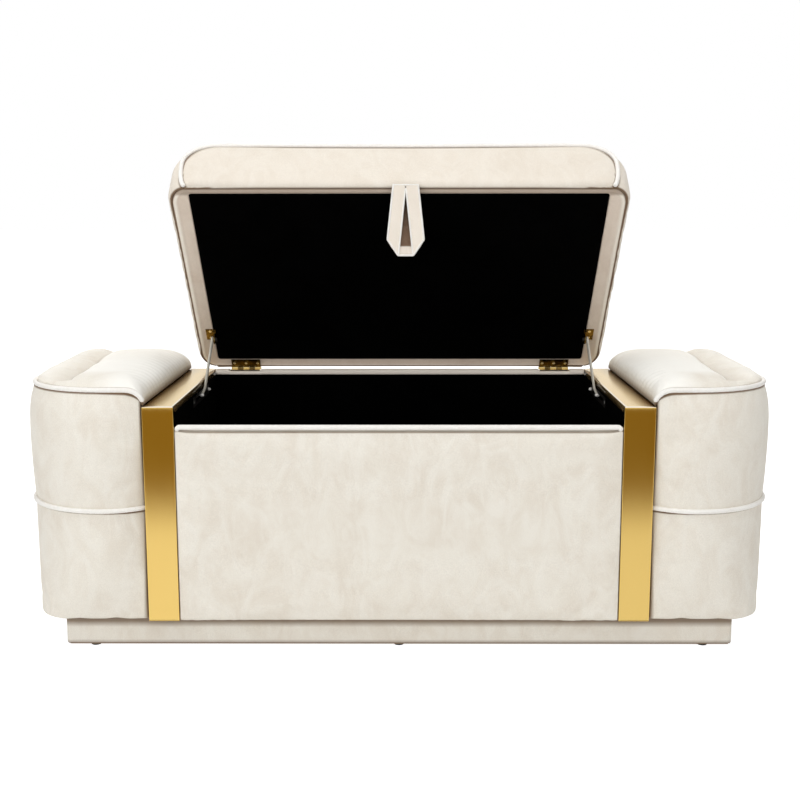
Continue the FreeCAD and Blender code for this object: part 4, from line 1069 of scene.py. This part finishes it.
# profile from under the base, up the back, over the rim and down inside, carried across the width
def buildBack():
    s, turn = backShape, quarter(7)
    r, foot, top, back, lip = s["round"], s["foot"], s["top"], s["face"], turn[::2]
    face = np.linspace(foot + r, top - r, 40)[1:-1]
    z = np.concatenate([[foot] * 2, foot + r * (1 - np.cos(turn)), face, top - r * (1 - np.sin(turn)), [top],
                        top - 4 * (1 - np.cos(lip)), [s["lip"]]])[:, None]
    y = np.concatenate([[back - 24, back - 14], back - r * (1 - np.sin(turn)), back + 0 * face,
                        back - r * (1 - np.cos(turn)), [back - 12], s["inner"] + 4 - 4 * np.sin(lip),
                        [s["inner"]]])[:, None]
    # the rim is pressed down under each hinge leaf
    steps = np.array([s["leaf"][0] - s["leafEdge"], *s["leaf"], s["leaf"][1] + s["leafEdge"]])
    x = np.unique(np.concatenate([np.linspace(-s["half"], s["half"], 140), steps, -steps]))[None, :]
    pressed = smoothStep(np.abs(x), steps[0], steps[1]) - smoothStep(np.abs(x), steps[2], steps[3])
    rim = gridOf(x, y, z - s["press"] * pressed * smoothStep(z, top - 8, top - 3))
    panel = makeShell("backPanel", rim, s["wall"], s["inside"], lidShadedVelvet, "bench", "cream_velvet", 0 * rim[..., 2],
                      ("back_panel_cover",))
    # painted light on the top of the rim
    paint(panel, "paintedLight", np.tile(smoothStep(rim[..., 2], 386, 396).ravel(), 2))


buildBack()

pipingRun = {"half": 345.6, "y": -208.6, "z": 367.4, "corner": 2.2, "drop": 0.2, "radius": 4.1}


# cord along the front panel's top, turned down in a small round at both ends
def frontPipingPath():
    s, turn = pipingRun, quarter(10)
    half, r = s["half"], s["corner"]
    x = np.concatenate([[half], half - r * (1 - np.cos(turn)), [0.0]])
    z = np.concatenate([[s["z"] - r - s["drop"]], s["z"] - r + r * np.sin(turn), [s["z"]]])
    return evenly(gridOf(np.concatenate([-x, x[-2::-1]]), s["y"], np.concatenate([z, z[-2::-1]])), 4.0)


makeTube("frontPanelPiping", frontPipingPath(), pipingRun["radius"], (0, -1, 0), pipingVelvet, "bench", "cream_velvet",
         ("front_panel_piping",), ripple=0.02)
print("base, back and front cord built")

# the pull tab; each edge cord has its share of the thickness and its corners, across and down from the sewn top
tabShape = {"x": 11.0, "front": -50.0, "top": 743.4, "edge": 1.7, "face": 1.2}
tabEdges = {
    "tabOuterEdge": (1.0, [(-20.4, 1.5), (-30.0, 90.5), (-12.6, 116.6), (12.6, 116.6), (30.0, 90.5), (20.4, 1.5)]),
    "tabInnerEdge": (0.9, [(-12.0, 115.0), (-1.2, 11.0), (0.0, 7.5), (1.2, 11.0), (12.0, 115.0)]),
    "tabTopFold": (0.85, [(-20.4, 1.4), (20.4, 1.4)]),
}


# a flat strip: its front face by level, closed by the same face set back
def tabStrip(name, x, front, level, back, material):
    s = tabShape
    face = gridOf(s["x"] + x, s["front"] + front, s["top"] - level[:, None])
    behind = face[:, ::-1].copy()
    behind[..., 1] = s["front"] + back
    loop = np.concatenate([face, behind], 1)
    return makePiece(name, loop, ringQuads(*loop.shape[:2]), material, "tab", "cream_velvet")


# one leg of the tab: a strip between an outer and an inner edge line, stitched in beside both, cut off by the mitre
def tabLeg(name, sign):
    level = np.linspace(0, 117.0, 50)
    inner = np.interp(level, [0, 10, 113.0, 118.0], [0.6, 0.8, 12.2, 12.8])
    outer = np.maximum(np.interp(level, [0.0, 91.0, 118.0], [21.3, 31.2, 13.2]), inner + 0.4)
    share = np.linspace(0, 1, 9)
    stitched = np.exp(-((share - 0.13) / 0.05) ** 2) + np.exp(-((share - 0.87) / 0.05) ** 2)
    x = inner[:, None] + (outer - inner)[:, None] * share
    leg = tabStrip(name, sign * x, 1.8 - tabShape["face"] * (1 - 0.45 * stitched), level, 3.0, lidShadedVelvet)
    # painted light over the whole leg
    paint(leg, "paintedLight", np.full(len(leg.data.vertices), 0.4))
    return leg


# legs, their cords, and the back layer between them, dark with painted shade, with the lit ledge where it turns up at
# the foot
def buildTab():
    s = tabShape
    tabLegs = [tabLeg("tabLegRight", 1), tabLeg("tabLegLeft", -1)]
    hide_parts("pull_tab")
    for name, (share, corners) in tabEdges.items():
        line = evenly(corners, 1.5)
        path = gridOf(s["x"] + line[:, 0], s["front"] + 1.7, s["top"] - line[:, 1])
        makeTube(name, path, s["edge"] * share, (0, -1, 0), pipingVelvet, "tab", "cream_velvet", sides=10)
    level = np.array([4.0, 30.0, 60.0, 98.0, 100.5, 103.0, 113.0, 116.0])
    half = np.interp(level, [4, 100, 116], [17.0, 27.0, 13.5])
    depth = np.array([5.6, 5.6, 5.6, 5.6, 5.4, 3.6, 2.2, 1.9])
    tabStrip("tabBackLayer", half[:, None] * np.linspace(-1, 1, 7), depth[:, None], level, 6.0, shadedTabBacking)


buildTab()
print("tab built")

rodShape = {"x": 347.4, "pivot": (161.56, 462.16), "end": (46.3, 376.4), "bend": 0.86, "radius": 2.5, "eye": 4.6,
            "pinHead": 2.9, "screw": (350.8, 119.3, 376.4)}


# an eye turned round the pivot, a straight run, then a crank in to the track, smoothed by a running average
def rodPath(flip):
    s = rodShape
    start, finish = np.array(s["pivot"]), np.array(s["end"])
    toward = (finish - start) / np.linalg.norm(finish - start)
    aside = np.array([-toward[1], toward[0]])
    turn = np.radians(np.linspace(-60, 250, 22))[:, None]
    loop = start + s["eye"] * (np.cos(turn) * aside + np.sin(turn) * -toward)
    shares = np.array([0.08, 0.3, 0.6, s["bend"] - 0.03, s["bend"] + 0.02, 0.97, 1.0])[:, None]
    line = np.concatenate([loop, start + (finish - start) * shares])
    inward = np.concatenate([np.zeros(len(loop)), [0.0, 0.2, 0.5, 0.8, 0.6, -1.8, -4.2]])
    points = evenly(gridOf(flip * (s["x"] - inward), line[:, 0], line[:, 1]), 2.0)
    padded = np.concatenate([np.repeat(points[:1], 2, 0), points, np.repeat(points[-1:], 2, 0)])
    return np.stack([np.convolve(column, np.array([1, 2, 3, 2, 1]) / 9, "valid") for column in padded.T], -1)


# a rod, the head of its pin in the track, and the domed screw at the track's end
def buildStay(side, flip):
    s, path, inward = rodShape, rodPath(flip), np.array([-flip, 0, 0])
    makeTube(side + "StayRod", path, s["radius"], (flip, 0.12, 0.08), steel, side + "_stay", "bright_steel",
             (side + "_stay_rod",), sides=14)
    pin = path[-1] + inward * np.array([[2.4], [1.2], [0]])
    makeTube(side + "StayPinHead", pin, s["pinHead"], (0, 0, 1), nickel, side + "_stay", "bright_steel", sides=14)
    dome = np.array(s["screw"]) * (flip, 1, 1) + inward * np.array([[0], [1], [2]])
    makeTube(side + "ScrewDome", dome, s["pinHead"], (0, 0, 1), nickel, "bench", "bright_steel", sides=14)


for side, flip in bothSides:
    buildStay(side, flip)
print("stays built")

# the first row with a word in the node's name gives its look
nodeLooks = (
    (("lining", "box_left_board", "box_right_board"), lining),
    (("board", "rails"), board),
    (("hinge_lid_leaves", "stay_bracket"), darkBrass),
    (("hinge_pins", "hinge_lid_screws", "hinge_rim_screws", "bracket_screws"), paleBrass),
    (("hinge", "bracket"), brass),
    (("track_screws",), nickel),
    (("stay_rod",), steel),
    (("stay_track", "stay_pivots"), blackMetal),
    (("floor_glides",), blackPlastic),
    (("",), velvet),
)
for name, node in nodes.items():
    node.data.materials.clear()
    node.data.materials.append(next(look for words, look in nodeLooks if any(word in name for word in words)))

stageShape = {"size": 30000.0, "room": 0.32, "shine": 0.92, "bounce": 0.93, "shade": 0.50, "glow": 0.90,
              "roomTint": (1, 0.995, 0.985, 1), "near": -0.86, "far": -1.38, "pale": (0.97, 0.965, 0.95),
              "brown": (0.262, 0.172, 0.033), "rightShare": 0.88}


# first shader where the share is 0, second where it is 1
def mixShaders(tree, share, first, second):
    node = addNode(tree, "MixShader")
    for socket, value in zip(node.inputs, (share, first, second)):
        feed(tree, socket, value)
    return node.outputs[0]


# a cleared node tree with its output socket and the kinds of light ray
def clearTree(owner, kind):
    owner.use_nodes = True
    tree = owner.node_tree
    tree.nodes.clear()
    return tree, addNode(tree, kind).inputs["Surface"], addNode(tree, "LightPath").outputs


# floor: white with a soft shadow to the camera, pale to other light, pale to brown towards the front in the polish
def buildFloor():
    s = stageShape
    points = s["size"] * np.array([(-1, -1, 0), (1, -1, 0), (1, 1, 0), (-1, 1, 0)])
    floor = bpy.data.objects.new("floor", makeMesh("floor", points, np.array([[0, 1, 2, 3]])))
    scene.collection.objects.link(floor)
    material = bpy.data.materials.new("paleFloor")
    tree, out, rays = clearTree(material, "OutputMaterial")
    plain, shade = (addNode(tree, "BsdfDiffuse", {"Color": (s[key], s[key], s[key], 1)}).outputs[0]
                    for key in ("bounce", "shade"))
    glow = addNode(tree, "Emission", {"Color": (1, 1, 1, 1), "Strength": s["glow"]}).outputs[0]
    both = addNode(tree, "AddShader")
    feed(tree, both.inputs[0], shade)
    feed(tree, both.inputs[1], glow)
    place = addNode(tree, "SeparateXYZ")
    feed(tree, place.inputs[0], objectPoint(tree))
    tone = mixColour(tree, remap(tree, place.outputs["Y"], s["near"], s["far"]), s["pale"], s["brown"])
    tone = mixColour(tree, 1.0, tone, remap(tree, place.outputs["X"], -0.35, 0.35, 1.0, s["rightShare"]), "MULTIPLY")
    mirrored = addNode(tree, "Emission", {"Strength": 1.0})
    feed(tree, mirrored.inputs["Color"], tone)
    unseen = mixShaders(tree, rays["Is Glossy Ray"], plain, mirrored.outputs[0])
    feed(tree, out, mixShaders(tree, rays["Is Camera Ray"], unseen, both.outputs[0]))
    floor.data.materials.append(material)


# world: white to the camera, a dim room to the object, brighter in its polish
def buildRoom():
    s = stageShape
    scene.world = bpy.data.worlds.new("studio")
    tree, out, rays = clearTree(scene.world, "OutputWorld")
    tints = (((1, 1, 1, 1), 1.0), (s["roomTint"], s["room"]), (s["roomTint"], s["shine"]))
    white, room, shine = (addNode(tree, "Background", {"Color": tint, "Strength": strength}).outputs[0]
                          for tint, strength in tints)
    seen = maths(tree, "MAXIMUM", rays["Is Camera Ray"], rays["Is Transmission Ray"])
    feed(tree, out, mixShaders(tree, seen, mixShaders(tree, rays["Is Glossy Ray"], room, shine), white))


lamps = {
    "topSoftbox": {"at": (-0.2, -0.7, 3.1), "size": (3.4, 2.6), "power": 48.0},
    "frontSoftbox": {"at": (-1.5, -4.2, 1.8), "size": (4.0, 2.6), "power": 55.0},
    "backSoftbox": {"at": (0, 2.6, 2.4), "size": (3.4, 1.6), "power": 48.0},
    "leftSoftbox": {"at": (-2.5, -2.4, 2.1), "size": (1.6, 1.6), "power": 12.0},
    "rightSoftbox": {"at": (2.5, -2.4, 2.1), "size": (1.6, 1.6), "power": 12.0},
}


# soft boxes aimed at the middle of the bench, left out of its reflections
def addLamps():
    aim = Vector((0, 0, 0.35))
    for name, s in lamps.items():
        data = bpy.data.lights.new(name, "AREA")
        data.shape, data.size, data.size_y = "RECTANGLE", *s["size"]
        data.energy = s["power"]
        lamp = bpy.data.objects.new(name, data)
        lamp.location = s["at"]
        lamp.rotation_euler = (aim - Vector(s["at"])).to_track_quat("-Z", "Y").to_euler()
        lamp.visible_glossy = False
        scene.collection.objects.link(lamp)


buildFloor()
buildRoom()
addLamps()
print("stage built")
